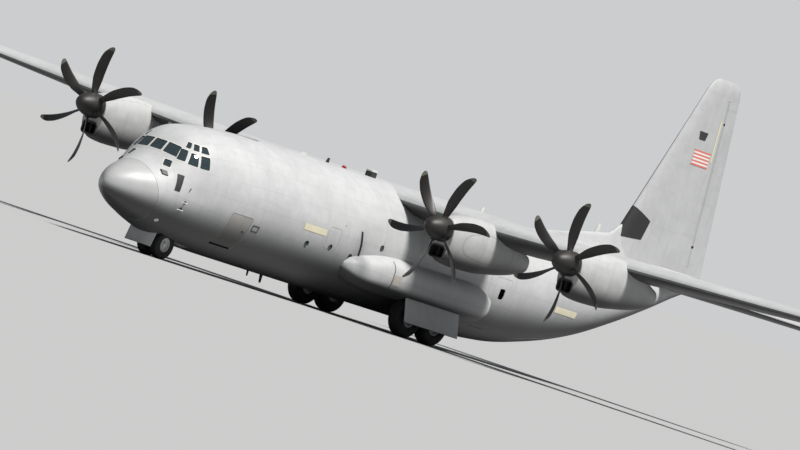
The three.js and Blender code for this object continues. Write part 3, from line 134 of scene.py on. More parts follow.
SKY_LIGHT = (0.86, 0.92, 1.0, 1)
SKY_STRENGTH = 0.24
BACKGROUND = (0.6, 0.61, 0.62, 1)
world = bpy.data.worlds.new("soft_sky")
world.use_nodes = True
sky = world.node_tree
sky.nodes.clear()
lights = []
for colour, strength in ((SKY_LIGHT, SKY_STRENGTH), (BACKGROUND, 1.0)):
    light = sky.nodes.new("ShaderNodeBackground")
    light.inputs["Color"].default_value = colour
    light.inputs["Strength"].default_value = strength
    lights.append(light)
sky_ray = sky.nodes.new("ShaderNodeLightPath")
sky_mix = sky.nodes.new("ShaderNodeMixShader")
sky_out = sky.nodes.new("ShaderNodeOutputWorld")
sky.links.new(sky_ray.outputs["Is Camera Ray"], sky_mix.inputs["Fac"])
for light, socket in zip(lights, sky_mix.inputs[1:]):
    sky.links.new(light.outputs[0], socket)
sky.links.new(sky_mix.outputs[0], sky_out.inputs["Surface"])
bpy.context.scene.world = world

SUN_FROM = Vector((0.58, 0.0, 1.0))
SUN_STRENGTH = 4.9
SUN_WIDTH = math.radians(14)
SUN_COLOUR = (1.0, 0.975, 0.94)
sun_data = bpy.data.lights.new("sun", "SUN")
sun_data.energy = SUN_STRENGTH
sun_data.angle = SUN_WIDTH
sun_data.color = SUN_COLOUR
sun = bpy.data.objects.new("sun", sun_data)
bpy.context.scene.collection.objects.link(sun)
sun.rotation_euler = SUN_FROM.to_track_quat("Z", "Y").to_euler()
bpy.context.scene.view_settings.view_transform = "Standard"
print("floor, sky and sun are in place")

# %% [markdown]
# ## Working by hand, in code
# Each piece starts as a primitive, is shaped in edit mode and is finished with modifiers. An operator acts
# on whatever is selected, so every helper first selects what it works on and nothing else.

# %% Selection helpers
def nothing_selected():
    if bpy.context.object and bpy.context.object.mode != "OBJECT":
        bpy.ops.object.mode_set(mode="OBJECT")
    bpy.ops.object.select_all(action="DESELECT")


def work_on(piece):
    nothing_selected()
    piece.select_set(True)
    bpy.context.view_layer.objects.active = piece


def edit_all(piece):
    """Goes into edit mode with everything selected."""
    work_on(piece)
    bpy.ops.object.mode_set(mode="EDIT")
    bpy.ops.mesh.select_all(action="SELECT")


def leave_edit():
    bpy.ops.object.mode_set(mode="OBJECT")


# %% Finishing helpers
def apply_modifier(piece, kind, **settings):
    work_on(piece)
    modifier = piece.modifiers.new(kind.lower(), kind)
    for key, value in settings.items():
        setattr(modifier, key, value)
    bpy.ops.object.modifier_apply(modifier=modifier.name)
    return piece


def settle(piece):
    """Puts the object at the origin, with its place in its mesh."""
    work_on(piece)
    bpy.ops.object.transform_apply(location=True, rotation=True, scale=True)
    return piece


def clean(piece, gap=0.00005):
    edit_all(piece)
    bpy.ops.mesh.remove_doubles(threshold=gap)
    bpy.ops.mesh.normals_make_consistent(inside=False)
    leave_edit()
    return piece


def close_ends(piece):
    """Fills the open ends of a tube and turns its faces outwards."""
    edit_all(piece)
    bpy.ops.mesh.region_to_loop()
    bpy.ops.mesh.fill_holes(sides=0)
    bpy.ops.mesh.select_all(action="SELECT")
    bpy.ops.mesh.normals_make_consistent(inside=False)
    leave_edit()
    return piece


def smooth(piece, degrees=32):
    work_on(piece)
    bpy.ops.object.shade_smooth_by_angle(angle=math.radians(degrees))
    return piece


def bevel_edges(piece, width, segments=2, degrees=35):
    limit = {"limit_method": "ANGLE", "angle_limit": math.radians(degrees)}
    return apply_modifier(piece, "BEVEL", width=width, segments=segments, **limit)


def joined(name, *pieces):
    nothing_selected()
    for piece in pieces:
        piece.select_set(True)
    bpy.context.view_layer.objects.active = pieces[0]
    if len(pieces) > 1:
        bpy.ops.object.join()
    whole = bpy.context.object
    whole.name = name
    return whole


def faces(*pieces):
    return [len(piece.data.polygons) for piece in pieces]


def copy_of(piece, name):
    other = piece.copy()
    other.data = piece.data.copy()
    other.name = name
    bpy.context.scene.collection.objects.link(other)
    return other


def mirrored_copy(piece, name):
    """The same piece on the other side of the aircraft."""
    other = copy_of(piece, name)
    other.data.transform(Matrix.Scale(-1, 4, (1, 0, 0)))
    edit_all(other)
    bpy.ops.mesh.flip_normals()
    leave_edit()
    return other


def cut_by(piece, *tools, keep=False, operation="DIFFERENCE"):
    for tool in tools:
        apply_modifier(piece, "BOOLEAN", operation=operation, object=tool, solver="EXACT")
        if not keep:
            drop(tool)
    return piece


def drop(piece):
    bpy.data.objects.remove(piece, do_unlink=True)


def finish(piece, body, paint, slot, *nodes, degrees=32):
    """Smooths a finished piece, gives it its material and body, and hides the CAD nodes that it stands for;
    the slot is not used.
    """
    settle(smooth(piece, degrees))
    if not piece.data.materials:
        piece.data.materials.append(paint)
    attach(piece, body)
    if nodes:
        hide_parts(*nodes)
    return piece


def fixed(piece, paint, slot, *nodes):
    return finish(piece, "airframe", paint, slot, *nodes)


# %% Shapes that recur
def box(name, low, high, body_metres=True):
    """A box between two corners, in the aircraft's metres."""
    a, b = (at(*low), at(*high)) if body_metres else (Vector(low), Vector(high))
    nothing_selected()
    bpy.ops.mesh.primitive_cube_add(size=1, location=(a + b) / 2)
    piece = bpy.context.object
    piece.scale = b - a
    piece.name = name
    return settle(piece)


def cone(name, a, b, radius, end_radius, sides):
    """A round bar or cone between two places of the model, its radii in the aircraft's metres."""
    nothing_selected()
    bpy.ops.mesh.primitive_cone_add(
        vertices=sides,
        radius1=radius * HALF,
        radius2=(radius if end_radius is None else end_radius) * HALF,
        depth=(b - a).length,
        location=(a + b) / 2,
    )
    piece = bpy.context.object
    piece.rotation_mode = "QUATERNION"
    piece.rotation_quaternion = (b - a).to_track_quat("Z", "Y")
    piece.name = name
    return settle(piece)


def bar(name, start, end, radius, end_radius=None, sides=24):
    """A round bar or cone between two places in the aircraft's metres."""
    return cone(name, at(*start), at(*end), radius, end_radius, sides)


CORNER_STEPS = 4


def outline_prism(name, outline, low, high, place, corner=0.0):
    """A flat outline with rounded corners, extruded between two depths; place(u, v, depth) gives a point."""
    nothing_selected()
    bpy.ops.mesh.primitive_circle_add(vertices=len(outline), radius=1, fill_type="NGON")
    piece = bpy.context.object
    for vertex, (u, v) in zip(piece.data.vertices, outline):
        vertex.co = (u, v, 0)
    bpy.ops.object.mode_set(mode="EDIT")
    bpy.ops.mesh.select_all(action="SELECT")
    if corner:
        bpy.ops.mesh.bevel(offset=corner, segments=CORNER_STEPS, affect="VERTICES")
        bpy.ops.mesh.select_all(action="SELECT")
    bpy.ops.mesh.extrude_region_move(TRANSFORM_OT_translate={"value": (0, 0, 1)})
    leave_edit()
    for vertex in piece.data.vertices:
        vertex.co = place(vertex.co.x, vertex.co.y, low if vertex.co.z < 0.5 else high)
    piece.name = name
    return clean(piece, 0.000001)


def side_prism(name, outline, low, high, corner=0.0):
    return outline_prism(name, outline, low, high, lambda y, z, x: at(x, y, z), corner)


def front_prism(name, outline, low, high, corner=0.0):
    return outline_prism(name, outline, low, high, lambda x, z, y: at(x, y, z), corner)


def plan_prism(name, outline, low, high):
    return outline_prism(name, outline, low, high, at)


def rectangle(u_low, u_high, v_low, v_high, grow=0.0):
    return [
        (u_low - grow, v_low - grow),
        (u_high + grow, v_low - grow),
        (u_high + grow, v_high + grow),
        (u_low - grow, v_high + grow),
    ]


def shaped_grid(name, columns, rows, place):
    """A grid laid on a surface: place(u, v) gives the point for u and v from 0 to 1."""
    nothing_selected()
    bpy.ops.mesh.primitive_grid_add(x_subdivisions=columns, y_subdivisions=rows, size=2)
    piece = bpy.context.object
    for vertex in piece.data.vertices:
        vertex.co = place((vertex.co.x + 1) / 2, (vertex.co.y + 1) / 2)
    piece.name = name
    return clean(piece)

# %% [markdown]
# ## Finishes
# The aircraft is painted one matte grey over aluminium skins. Panel seams, rivet lines, streaks that run
# down from them and rubbed edges are what the eye reads as metal skin. A picture could carry them, but node
# patterns stay sharp at any distance, so each effect is a node group, built once and placed in every paint
# that needs it.

# %% Node helpers
def new_group(name, inputs, outputs):
    """A node group whose sockets are plain values, apart from one called Vector."""
    group = bpy.data.node_groups.new(name, "ShaderNodeTree")
    for title, value in inputs.items():
        kind = "NodeSocketVector" if title == "Vector" else "NodeSocketFloat"
        socket = group.interface.new_socket(name=title, in_out="INPUT", socket_type=kind)
        if value is not None:
            socket.default_value = value
    for title in outputs:
        group.interface.new_socket(name=title, in_out="OUTPUT", socket_type="NodeSocketFloat")
    enter, leave = group.nodes.new("NodeGroupInput"), group.nodes.new("NodeGroupOutput")
    return group, enter.outputs, leave.inputs


def feed(tree, socket, value):
    """Links another node's output to a socket, or sets a constant on it."""
    if isinstance(value, bpy.types.NodeSocket):
        tree.links.new(value, socket)
    else:
        socket.default_value = value


def math_node(tree, operation, *values):
    node = tree.nodes.new("ShaderNodeMath")
    node.operation = operation
    for socket, value in zip(node.inputs, values):
        feed(tree, socket, value)
    return node.outputs[0]


def smooth_step(tree, value, low, high):
    node = tree.nodes.new("ShaderNodeMapRange")
    node.interpolation_type = "SMOOTHSTEP"
    for title, given in (("Value", value), ("From Min", low), ("From Max", high)):
        feed(tree, node.inputs[title], given)
    return node.outputs["Result"]


def noise(tree, vector, scale, detail=4.0, roughness=0.55, stretch=(1, 1, 1)):
    mapping = tree.nodes.new("ShaderNodeMapping")
    mapping.inputs["Scale"].default_value = stretch
    tree.links.new(vector, mapping.inputs["Vector"])
    node = tree.nodes.new("ShaderNodeTexNoise")
    node.inputs["Scale"].default_value = scale
    node.inputs["Detail"].default_value = detail
    node.inputs["Roughness"].default_value = roughness
    tree.links.new(mapping.outputs["Vector"], node.inputs["Vector"])
    return node.outputs["Fac"]


def mixed(tree, factor, a, b):
    """A colour between a and b, each a socket or a plain colour."""
    node = tree.nodes.new("ShaderNodeMix")
    node.data_type = "RGBA"
    feed(tree, node.inputs["Factor"], factor)
    for socket, value in zip((s for s in node.inputs if s.type == "RGBA"), (a, b)):
        feed(tree, socket, (*value, 1) if isinstance(value, tuple) else value)
    return next(socket for socket in node.outputs if socket.type == "RGBA")


def place_group(tree, group, **values):
    node = tree.nodes.new("ShaderNodeGroup")
    node.node_tree = group
    for title, value in values.items():
        feed(tree, node.inputs[title.replace("_", " ")], value)
    return node


# %% Group: panel seams and rivet rows
def build_seams():
    sizes = {"Panel Length": 0.9, "Panel Width": 0.6, "Seam Width": 0.004, "Rivet Pitch": 0.03}
    inputs = {"Along": None, "Across": None, **sizes}
    group, given, result = new_group("panel seams", inputs, ("Seam", "Rivet", "Height"))
    calc = partial(math_node, group)
    across_panel = []
    for axis, size in (("Along", "Panel Length"), ("Across", "Panel Width")):
        across_panel.append(calc("PINGPONG", given[axis], calc("MULTIPLY", given[size], 0.5)))
    edge = calc("DIVIDE", calc("MINIMUM", *across_panel), given["Seam Width"])
    seam = calc("SUBTRACT", 1.0, smooth_step(group, edge, 0.4, 1.0))
    row = calc("ABSOLUTE", calc("SUBTRACT", edge, 3.2))
    in_row = calc("SUBTRACT", 1.0, smooth_step(group, row, 0.3, 0.8))
    pitch = calc("MULTIPLY", given["Rivet Pitch"], 0.5)
    dots = [calc("PINGPONG", given[axis], pitch) for axis in ("Along", "Across")]
    dot = calc("DIVIDE", calc("MAXIMUM", *dots), given["Rivet Pitch"])
    rivet = calc("MULTIPLY", in_row, calc("SUBTRACT", 1.0, smooth_step(group, dot, 0.18, 0.3)))
    feed(group, result["Seam"], seam)
    feed(group, result["Rivet"], rivet)
    feed(group, result["Height"], calc("SUBTRACT", calc("MULTIPLY", rivet, 0.25), seam))
    return group


# %% Group: weather, the mottling and streaks of old paint
def build_weather():
    group, given, result = new_group("weather", {"Vector": None, "Seam": 0.0}, ("Mottle", "Streak", "Fine"))
    calc = partial(math_node, group)
    vector = given["Vector"]
    broad = noise(group, vector, 0.9, 5.0, 0.6)
    patch = noise(group, vector, 6.0, 3.0, 0.5)
    mottle = calc("MULTIPLY_ADD", broad, 0.65, calc("MULTIPLY", patch, 0.35))
    streak = smooth_step(group, noise(group, vector, 9.0, 4.0, 0.6, (1, 1, 0.09)), 0.52, 0.78)
    swept = smooth_step(group, noise(group, vector, 7.0, 4.0, 0.6, (1, 0.1, 1)), 0.56, 0.8)
    worst = calc("MAXIMUM", streak, swept)
    feed(group, result["Mottle"], smooth_step(group, mottle, 0.32, 0.7))
    feed(group, result["Streak"], calc("MULTIPLY_ADD", given["Seam"], 0.35, worst))
    feed(group, result["Fine"], noise(group, vector, 160.0, 2.0, 0.5))
    return group


# %% Group: wear, the small chips where feet, hands and stones rub
def build_wear():
    group, given, result = new_group("wear", {"Vector": None, "Scale": 30.0, "Amount": 0.5}, ("Chip", "Rub"))
    calc = partial(math_node, group)
    texture = group.nodes.new("ShaderNodeTexNoise")
    texture.inputs["Detail"].default_value = 6.0
    for title in ("Vector", "Scale"):
        feed(group, texture.inputs[title], given[title])
    limit = calc("SUBTRACT", 0.82, calc("MULTIPLY", given["Amount"], 0.22))
    feed(group, result["Chip"], calc("GREATER_THAN", texture.outputs["Fac"], limit))
    rub = smooth_step(group, noise(group, given["Vector"], 4.0, 5.0), 0.35, 0.75)
    feed(group, result["Rub"], calc("MULTIPLY", rub, given["Amount"]))
    return group


SEAMS = build_seams()
WEATHER = build_weather()
WEAR = build_wear()
print("node groups:", [group.name for group in (SEAMS, WEATHER, WEAR)])


# %% [markdown]
# ## Paint on skins
# The same grey covers hull, wing and fin, but its seams follow each: frames and stringers round the hull,
# ribs and spars on the wing. One maker takes the direction of the seams and the panel sizes.

# %% Skin paint
HULL_AXIS_Z = 2.6 * HALF


def shade(colour, share):
    return tuple(c * share for c in colour)


def start_material(name, colour, roughness, metallic=0.0):
    material = bpy.data.materials.new(name)
    material.use_nodes = True
    tree = material.node_tree
    shader = tree.nodes["Principled BSDF"]
    shader.inputs["Base Color"].default_value = (*colour, 1)
    shader.inputs["Roughness"].default_value = roughness
    shader.inputs["Metallic"].default_value = metallic
    coordinates = tree.nodes.new("ShaderNodeTexCoord")
    return material, tree, shader, coordinates.outputs["Object"]


def bump(tree, shader, height, strength, distance):
    node = tree.nodes.new("ShaderNodeBump")
    node.inputs["Strength"].default_value = strength
    node.inputs["Distance"].default_value = distance
    tree.links.new(height, node.inputs["Height"])
    tree.links.new(node.outputs["Normal"], shader.inputs["Normal"])


def seam_directions(tree, vector, kind):
    """The two coordinates that the seams of a skin follow."""
    split = tree.nodes.new("ShaderNodeSeparateXYZ")
    tree.links.new(vector, split.inputs[0])
    x, y, z = split.outputs
    if kind == "hull":
        height = math_node(tree, "SUBTRACT", z, HULL_AXIS_Z)
        angle = math_node(tree, "ARCTAN2", height, math_node(tree, "ABSOLUTE", x))
        return y, angle
    if kind == "wing":
        return math_node(tree, "ABSOLUTE", x), y
    return z, y


# Painted shade: faces whose normal points down over this range are darkened to this share of their colour.
SHADE_BELOW_RANGE = (-0.62, 0.16)
SHADE_BELOW_SHARE = 0.08


def underside(tree):
    """A mask of the faces that look down, which the paint darkens as painted shade under the aircraft."""
    facing = tree.nodes.new("ShaderNodeTexCoord")
    split = tree.nodes.new("ShaderNodeSeparateXYZ")
    tree.links.new(facing.outputs["Normal"], split.inputs[0])
    return math_node(tree, "SUBTRACT", 1.0, smooth_step(tree, split.outputs[2], *SHADE_BELOW_RANGE))


SKIN_ROUGHNESS = 0.55
# how far the paint's tones lie from its colour, and how strongly streaks, seams and rivets show
LIGHTER, DARKER, GRIMY = 0.1, 0.13, 0.42
STREAKS, SEAM_LINES, RIVET_HEADS = 0.42, 0.6, 0.3


def skin_paint(name, kind, colour, panel, contrast=0.7, seam_width=0.0035):
    material, tree, shader, vector = start_material(name, colour, SKIN_ROUGHNESS)
    along, across = seam_directions(tree, vector, kind)
    sizes = {"Panel_Length": panel[0], "Panel_Width": panel[1], "Seam_Width": seam_width}
    seams = place_group(tree, SEAMS, Along=along, Across=across, **sizes)
    weather = place_group(tree, WEATHER, Vector=vector, Seam=seams.outputs["Seam"])
    light, dark, grime = (shade(colour, 1 + step * contrast) for step in (LIGHTER, -DARKER, -GRIMY))
    base = mixed(tree, weather.outputs["Mottle"], dark, light)
    for mask, share, tone in (
        (weather.outputs["Streak"], STREAKS, grime),
        (seams.outputs["Seam"], SEAM_LINES, grime),
        (seams.outputs["Rivet"], RIVET_HEADS, light),
    ):
        base = mixed(tree, math_node(tree, "MULTIPLY", mask, share * contrast), base, tone)
    # Painted shade: faces that look down, the belly and the undersides of wing, tail and nacelles, are
    # darkened.
    base = mixed(tree, underside(tree), base, shade(colour, SHADE_BELOW_SHARE))
    tree.links.new(base, shader.inputs["Base Color"])
    rough = math_node(tree, "MULTIPLY_ADD", weather.outputs["Fine"], 0.12, SKIN_ROUGHNESS - 0.06)
    tree.links.new(rough, shader.inputs["Roughness"])
    bump(tree, shader, seams.outputs["Height"], 0.35, 0.002)
    return material


HULL_GREY = (0.49, 0.5, 0.505)
hull_paint = skin_paint("hull_paint", "hull", HULL_GREY, (0.76, 0.31), seam_width=0.005)
wing_paint = skin_paint("wing_paint", "wing", HULL_GREY, (0.82, 0.42))
door_paint = skin_paint("door_paint", "wing", HULL_GREY, (0.8, 0.5))
fin_paint = skin_paint("fin_paint", "fin", (0.46, 0.47, 0.475), (0.62, 0.5))
nacelle_paint = skin_paint("nacelle_paint", "wing", (0.47, 0.475, 0.475), (0.55, 0.6), contrast=0.9)
print("skin paints ready")


# %% Plain paints and metals
RUBBED = 0.72


def worn_paint(name, colour, roughness, chip_colour, amount=0.4, scale=30.0, metallic=0.0, shaded_below=False):
    material, tree, shader, vector = start_material(name, colour, roughness, metallic)
    wear = place_group(tree, WEAR, Vector=vector, Scale=scale, Amount=amount)
    base = mixed(tree, wear.outputs["Rub"], colour, shade(colour, RUBBED))
    base = mixed(tree, wear.outputs["Chip"], base, chip_colour)
    # Painted shade: faces that look down are darkened, for the paints that ask for it.
    if shaded_below:
        base = mixed(tree, underside(tree), base, shade(colour, SHADE_BELOW_SHARE))
    tree.links.new(base, shader.inputs["Base Color"])
    grain = noise(tree, vector, 220.0, 2.0)
    tree.links.new(math_node(tree, "MULTIPLY_ADD", grain, 0.2, roughness - 0.1), shader.inputs["Roughness"])
    bump(tree, shader, grain, 0.12, 0.0006)
    return material


# name, colour, roughness, colour of the chips, amount and scale of the wear, and whether faces that look down
# get painted shade
radome_paint = worn_paint(
    "radome_paint", (0.42, 0.425, 0.43), 0.42, (0.33, 0.33, 0.34), 0.25, 9.0, shaded_below=True
)
spinner_paint = worn_paint(
    "spinner_paint", (0.024, 0.021, 0.019), 0.5, (0.1, 0.09, 0.08), 0.3, 24.0, shaded_below=True
)
boot_black = worn_paint("boot_black", (0.018, 0.018, 0.02), 0.62, (0.05, 0.05, 0.05), 0.3, 18.0)
# Near black for dark fittings; on the intake lips and linings it is partly painted shade.
dark_fitting = worn_paint("dark_fitting", (0.03, 0.03, 0.032), 0.5, (0.12, 0.12, 0.12), 0.35, 60.0)
white_fitting = worn_paint("white_fitting", (0.62, 0.62, 0.6), 0.5, (0.35, 0.34, 0.32), 0.35, 50.0)
tan_patch = worn_paint("tan_patch", (0.42, 0.4, 0.35), 0.6, (0.3, 0.29, 0.27), 0.3, 30.0)
wheel_white = worn_paint("wheel_white", (0.6, 0.61, 0.6), 0.45, (0.25, 0.24, 0.22), 0.45, 70.0)
gear_white = worn_paint("gear_white", (0.56, 0.57, 0.57), 0.42, (0.28, 0.27, 0.25), 0.4, 60.0)
oleo_chrome = worn_paint("oleo_chrome", (0.7, 0.71, 0.72), 0.16, (0.5, 0.5, 0.5), 0.1, 80.0, metallic=1.0)
cabin_grey = worn_paint("cabin_grey", (0.2, 0.215, 0.22), 0.7, (0.1, 0.1, 0.1), 0.4, 25.0)
panel_black = worn_paint("panel_black", (0.02, 0.02, 0.022), 0.55, (0.08, 0.08, 0.08), 0.3, 60.0)
floor_metal = worn_paint(
    "floor_metal", (0.22, 0.225, 0.22), 0.5, (0.42, 0.42, 0.42), 0.55, 40.0, metallic=0.3
)
engine_metal = worn_paint("engine_metal", (0.3, 0.3, 0.31), 0.4, (0.15, 0.13, 0.11), 0.4, 30.0, metallic=0.8)
blade_paint = worn_paint("blade_paint", (0.009, 0.008, 0.007), 0.42, (0.09, 0.08, 0.07), 0.3, 26.0)
tip_paint = worn_paint("tip_paint", (0.13, 0.12, 0.1), 0.45, (0.12, 0.1, 0.08), 0.35, 40.0)
tyre_rubber = worn_paint("tyre_rubber", (0.022, 0.022, 0.023), 0.82, (0.06, 0.058, 0.055), 0.45, 34.0)
print("plain paints ready")

# %% [markdown]
# ## Hull
# The hull is round and carries cabin pressure, so its skins are rolled sheets over frames. Its shape comes
# from a table of sections, smoothed along the length. A tube could be extruded ring by ring, but a grid
# rolled onto the sections gives even faces and the same curve in every piece that is cut from it.

# %% Sections of the hull
# station, half width, top, bottom, height of the widest point, roundness above it, roundness below it
HULL = [
    (0.0, 0.03, 1.92, 1.84, 1.88, 2, 2),
    (0.05, 0.15, 2.07, 1.7, 1.88, 2, 2),
    (0.2, 0.34, 2.26, 1.55, 1.88, 2, 2),
    (0.45, 0.56, 2.46, 1.4, 1.89, 2, 2),
    (0.8, 0.8, 2.67, 1.25, 1.91, 2, 2),
    (1.2, 1.01, 2.84, 1.1, 1.95, 2, 2),
    (1.65, 1.21, 3.07, 0.98, 2.02, 2, 2),
    (2.0, 1.35, 3.38, 0.89, 2.08, 2.05, 2.05),
    (2.35, 1.48, 3.82, 0.81, 2.15, 2.2, 2.05),
    (2.8, 1.62, 4.17, 0.72, 2.23, 2.45, 2.1),
    (3.4, 1.78, 4.4, 0.63, 2.34, 2.5, 2.15),
    (4.4, 1.97, 4.55, 0.55, 2.47, 2.35, 2.2),
    (6.0, 2.13, 4.66, 0.52, 2.57, 2.15, 2.3),
    (9.0, 2.16, 4.73, 0.52, 2.58, 2, 2.3),
    (20.0, 2.16, 4.73, 0.52, 2.58, 2, 2.3),
    (22.0, 2.13, 4.73, 0.62, 2.64, 2, 2.2),
    (24.0, 2.04, 4.75, 1.0, 2.82, 2, 2.4),
    (26.0, 1.87, 4.79, 1.58, 3.08, 2, 2.6),
    (28.0, 1.62, 4.85, 2.36, 3.45, 2, 2.6),
    (30.0, 1.3, 4.92, 3.22, 3.9, 2, 2.5),
    (31.7, 0.95, 4.98, 3.95, 4.35, 2, 2.3),
    (33.2, 0.55, 4.97, 4.42, 4.65, 2, 2),
    (34.1, 0.24, 4.87, 4.6, 4.73, 2, 2),
    (LENGTH, 0.08, 4.78, 4.68, 4.73, 2, 2),
]
SKIN = 0.03
COCKPIT_END = 6.0
CENTRE_START = 12.9
AFT_START = 19.3
TAIL_CONE_START = 30.35


def slopes(table):
    """Slopes at each row that keep the curve from overshooting its rows."""
    result = []
    for i, row in enumerate(table):
        if i in (0, len(table) - 1):
            near = table[1] if i == 0 else table[-2]
            result.append([(b - a) / (near[0] - row[0]) for a, b in zip(row[1:], near[1:])])
            continue
        before, after = table[i - 1], table[i + 1]
        pair = []
        for a, b, c in zip(before[1:], row[1:], after[1:]):
            first, second = (b - a) / (row[0] - before[0]), (c - b) / (after[0] - row[0])
            pair.append(2 * first * second / (first + second) if first * second > 0 else 0.0)
        result.append(pair)
    return result


def smooth_row(table, table_slopes, y):
    """One row between those of a table, on a smooth curve through them."""
    y = min(max(y, table[0][0]), table[-1][0])
    i = max(k for k in range(len(table) - 1) if table[k][0] <= y)
    low, high = table[i], table[i + 1]
    step = high[0] - low[0]
    t = (y - low[0]) / step
    a = 2 * t**3 - 3 * t**2 + 1
    b = t**3 - 2 * t**2 + t
    c = 3 * t**2 - 2 * t**3
    d = t**3 - t**2
    pairs = zip(low[1:], high[1:], table_slopes[i], table_slopes[i + 1])
    return [a * p + b * step * m + c * q + d * step * n for p, q, m, n in pairs]


HULL_SLOPES = slopes(HULL)


def squared_off(value, power):
    """A sine or cosine raised to a power, its sign kept, which makes a circle squarer or more pinched."""
    return math.copysign(abs(value) ** power, value)


def hull_point(y, angle, inset=0.0):
    """A point of the hull, in the aircraft's metres; the angle runs up from the left side."""
    half, top, bottom, widest, above, below = smooth_row(HULL, HULL_SLOPES, y)
    rise, run = math.sin(angle), math.cos(angle)
    power = 2 / (above if rise >= 0 else below)
    height = (top - widest if rise >= 0 else widest - bottom) - inset
    return squared_off(run, power) * (half - inset), y, widest + squared_off(rise, power) * height


def hull_side(y, z):
    """The hull's half width at a height."""
    half, top, bottom, widest, above, below = smooth_row(HULL, HULL_SLOPES, y)
    height, power = (top - widest, above) if z >= widest else (widest - bottom, below)
    share = min(1.0, abs(z - widest) / height)
    return half * (1 - share**power) ** (1 / power)


HULL_COLUMNS = 96
TIP_Z = 1.88


def hull_tube(name, start, end, rows, inset=0.0, closed=False, crowd=1.0):
    def place(u, v):
        y = lerp(start, end, v**crowd)
        if start == 0 and v == 0:
            return at(0, inset, TIP_Z)
        return at(*hull_point(y, u * 2 * math.pi, inset))

    tube = shaped_grid(name, HULL_COLUMNS, rows, place)
    return close_ends(tube) if closed else tube


def thicken(piece, thickness, offset=-1.0):
    return apply_modifier(piece, "SOLIDIFY", thickness=thickness * HALF, offset=offset, use_even_offset=False)


def slice_off(piece, place, normal, keep_front):
    """Cuts a piece with a plane and keeps one side."""
    edit_all(piece)
    bpy.ops.mesh.bisect(plane_co=place, plane_no=normal, clear_inner=keep_front, clear_outer=not keep_front)
    leave_edit()
    return piece


# %% [markdown]
# ## Radome and nose
# The radome is a plain moulded cone that hides a radar, and its seam leans forward. The nose behind it
# carries the flight deck windows, the crew door and the nose gear bay. One tube makes both, cut by the
# seam's plane, so the curve runs through. Windows, doorway and bay are then cut out of the skin.

# %% Cut the nose from the radome
NOSE_ROWS = 60
SEAM_PLACE = at(0, 1.525, 1.9)
SEAM_NORMAL = Vector((0, 3.0, 0.85)).normalized()
SEAM_GAP = 0.004

radome = hull_tube("radome_skin", 0, COCKPIT_END, NOSE_ROWS, crowd=1.7)
nose = copy_of(radome, "nose_skin")
slice_off(radome, SEAM_PLACE - SEAM_NORMAL * SEAM_GAP / 2, SEAM_NORMAL, keep_front=False)
slice_off(nose, SEAM_PLACE + SEAM_NORMAL * SEAM_GAP / 2, SEAM_NORMAL, keep_front=True)
thicken(radome, SKIN)
thicken(nose, SKIN)
fixed(radome, radome_paint, "radome", "radome")
print("nose faces", faces(nose))

# %% Outlines of the windows, the crew door and the nose gear bay
# Front panes are seen from ahead (x, z), side panes from the side (y, z).
FRONT_PANE = [(0.32, 3.4), (0.85, 3.34), (0.76, 3.71), (0.3, 3.75)]
CENTRE_PANE = [(-0.25, 3.41), (0.25, 3.41), (0.23, 3.75), (-0.23, 3.75)]
SIDE_PANES = [
    [(2.15, 3.29), (2.33, 3.28), (2.52, 3.66), (2.38, 3.67)],
    [(2.38, 3.24), (2.69, 3.23), (2.77, 3.62), (2.57, 3.63)],
    [(2.76, 3.23), (3.12, 3.24), (3.16, 3.65), (2.84, 3.63)],
    [(2.49, 3.74), (2.59, 3.73), (2.73, 3.93), (2.65, 3.94)],
    [(2.64, 3.72), (2.81, 3.72), (2.91, 3.93), (2.76, 3.93)],
    [(2.86, 3.71), (3.16, 3.73), (3.14, 3.94), (2.97, 3.93)],
    [(1.77, 2.97), (1.92, 2.95), (2.06, 3.18), (1.94, 3.19)],
]
CREW_FRONT, CREW_BACK, CREW_SILL, CREW_TOP = 4.56, 5.58, 1.06, 2.2
CREW_DOOR = rectangle(CREW_FRONT, CREW_BACK, CREW_SILL, CREW_TOP)
PANE_CORNER = 0.028
FRAME_WIDTH = 0.022
FRONT_REACH = (1.2, 2.9)
SIDE_REACH = (0.3, 2.3)


def spread(outline, distance):
    """Moves the corners of an outline away from its middle."""
    middle_u = sum(u for u, v in outline) / len(outline)
    middle_v = sum(v for u, v in outline) / len(outline)
    result = []
    for u, v in outline:
        away = math.hypot(u - middle_u, v - middle_v)
        scale = (away + distance * math.sqrt(2)) / away
        result.append((middle_u + (u - middle_u) * scale, middle_v + (v - middle_v) * scale))
    return result


def window_tools(grow):
    """Prisms through all the windows: front ones between two stations, side ones between two widths."""
    tools = [front_prism("centre_tool", spread(CENTRE_PANE, grow), *FRONT_REACH, PANE_CORNER)]
    for side in (1, -1):
        front = [(side * x, z) for x, z in spread(FRONT_PANE, grow)]
        tools.append(front_prism("front_tool", front, *FRONT_REACH, PANE_CORNER))
        reach = [side * x for x in SIDE_REACH]
        tools += [side_prism("side_tool", spread(pane, grow), *reach, PANE_CORNER) for pane in SIDE_PANES]
    return tools


# %% Cut the openings of the nose
NOSE_BAY_HALF, NOSE_BAY_FRONT, NOSE_BAY_BACK, NOSE_BAY_ROOF = 0.72, 2.9, 4.5, 1.5
LINING = 0.05
DOOR_GAP = 0.014
SILL_GAP = 0.055


def bay_box(name, grow):
    return box(
        name,
        (-NOSE_BAY_HALF - grow, NOSE_BAY_FRONT - grow, 0),
        (NOSE_BAY_HALF + grow, NOSE_BAY_BACK + grow, NOSE_BAY_ROOF + grow),
    )


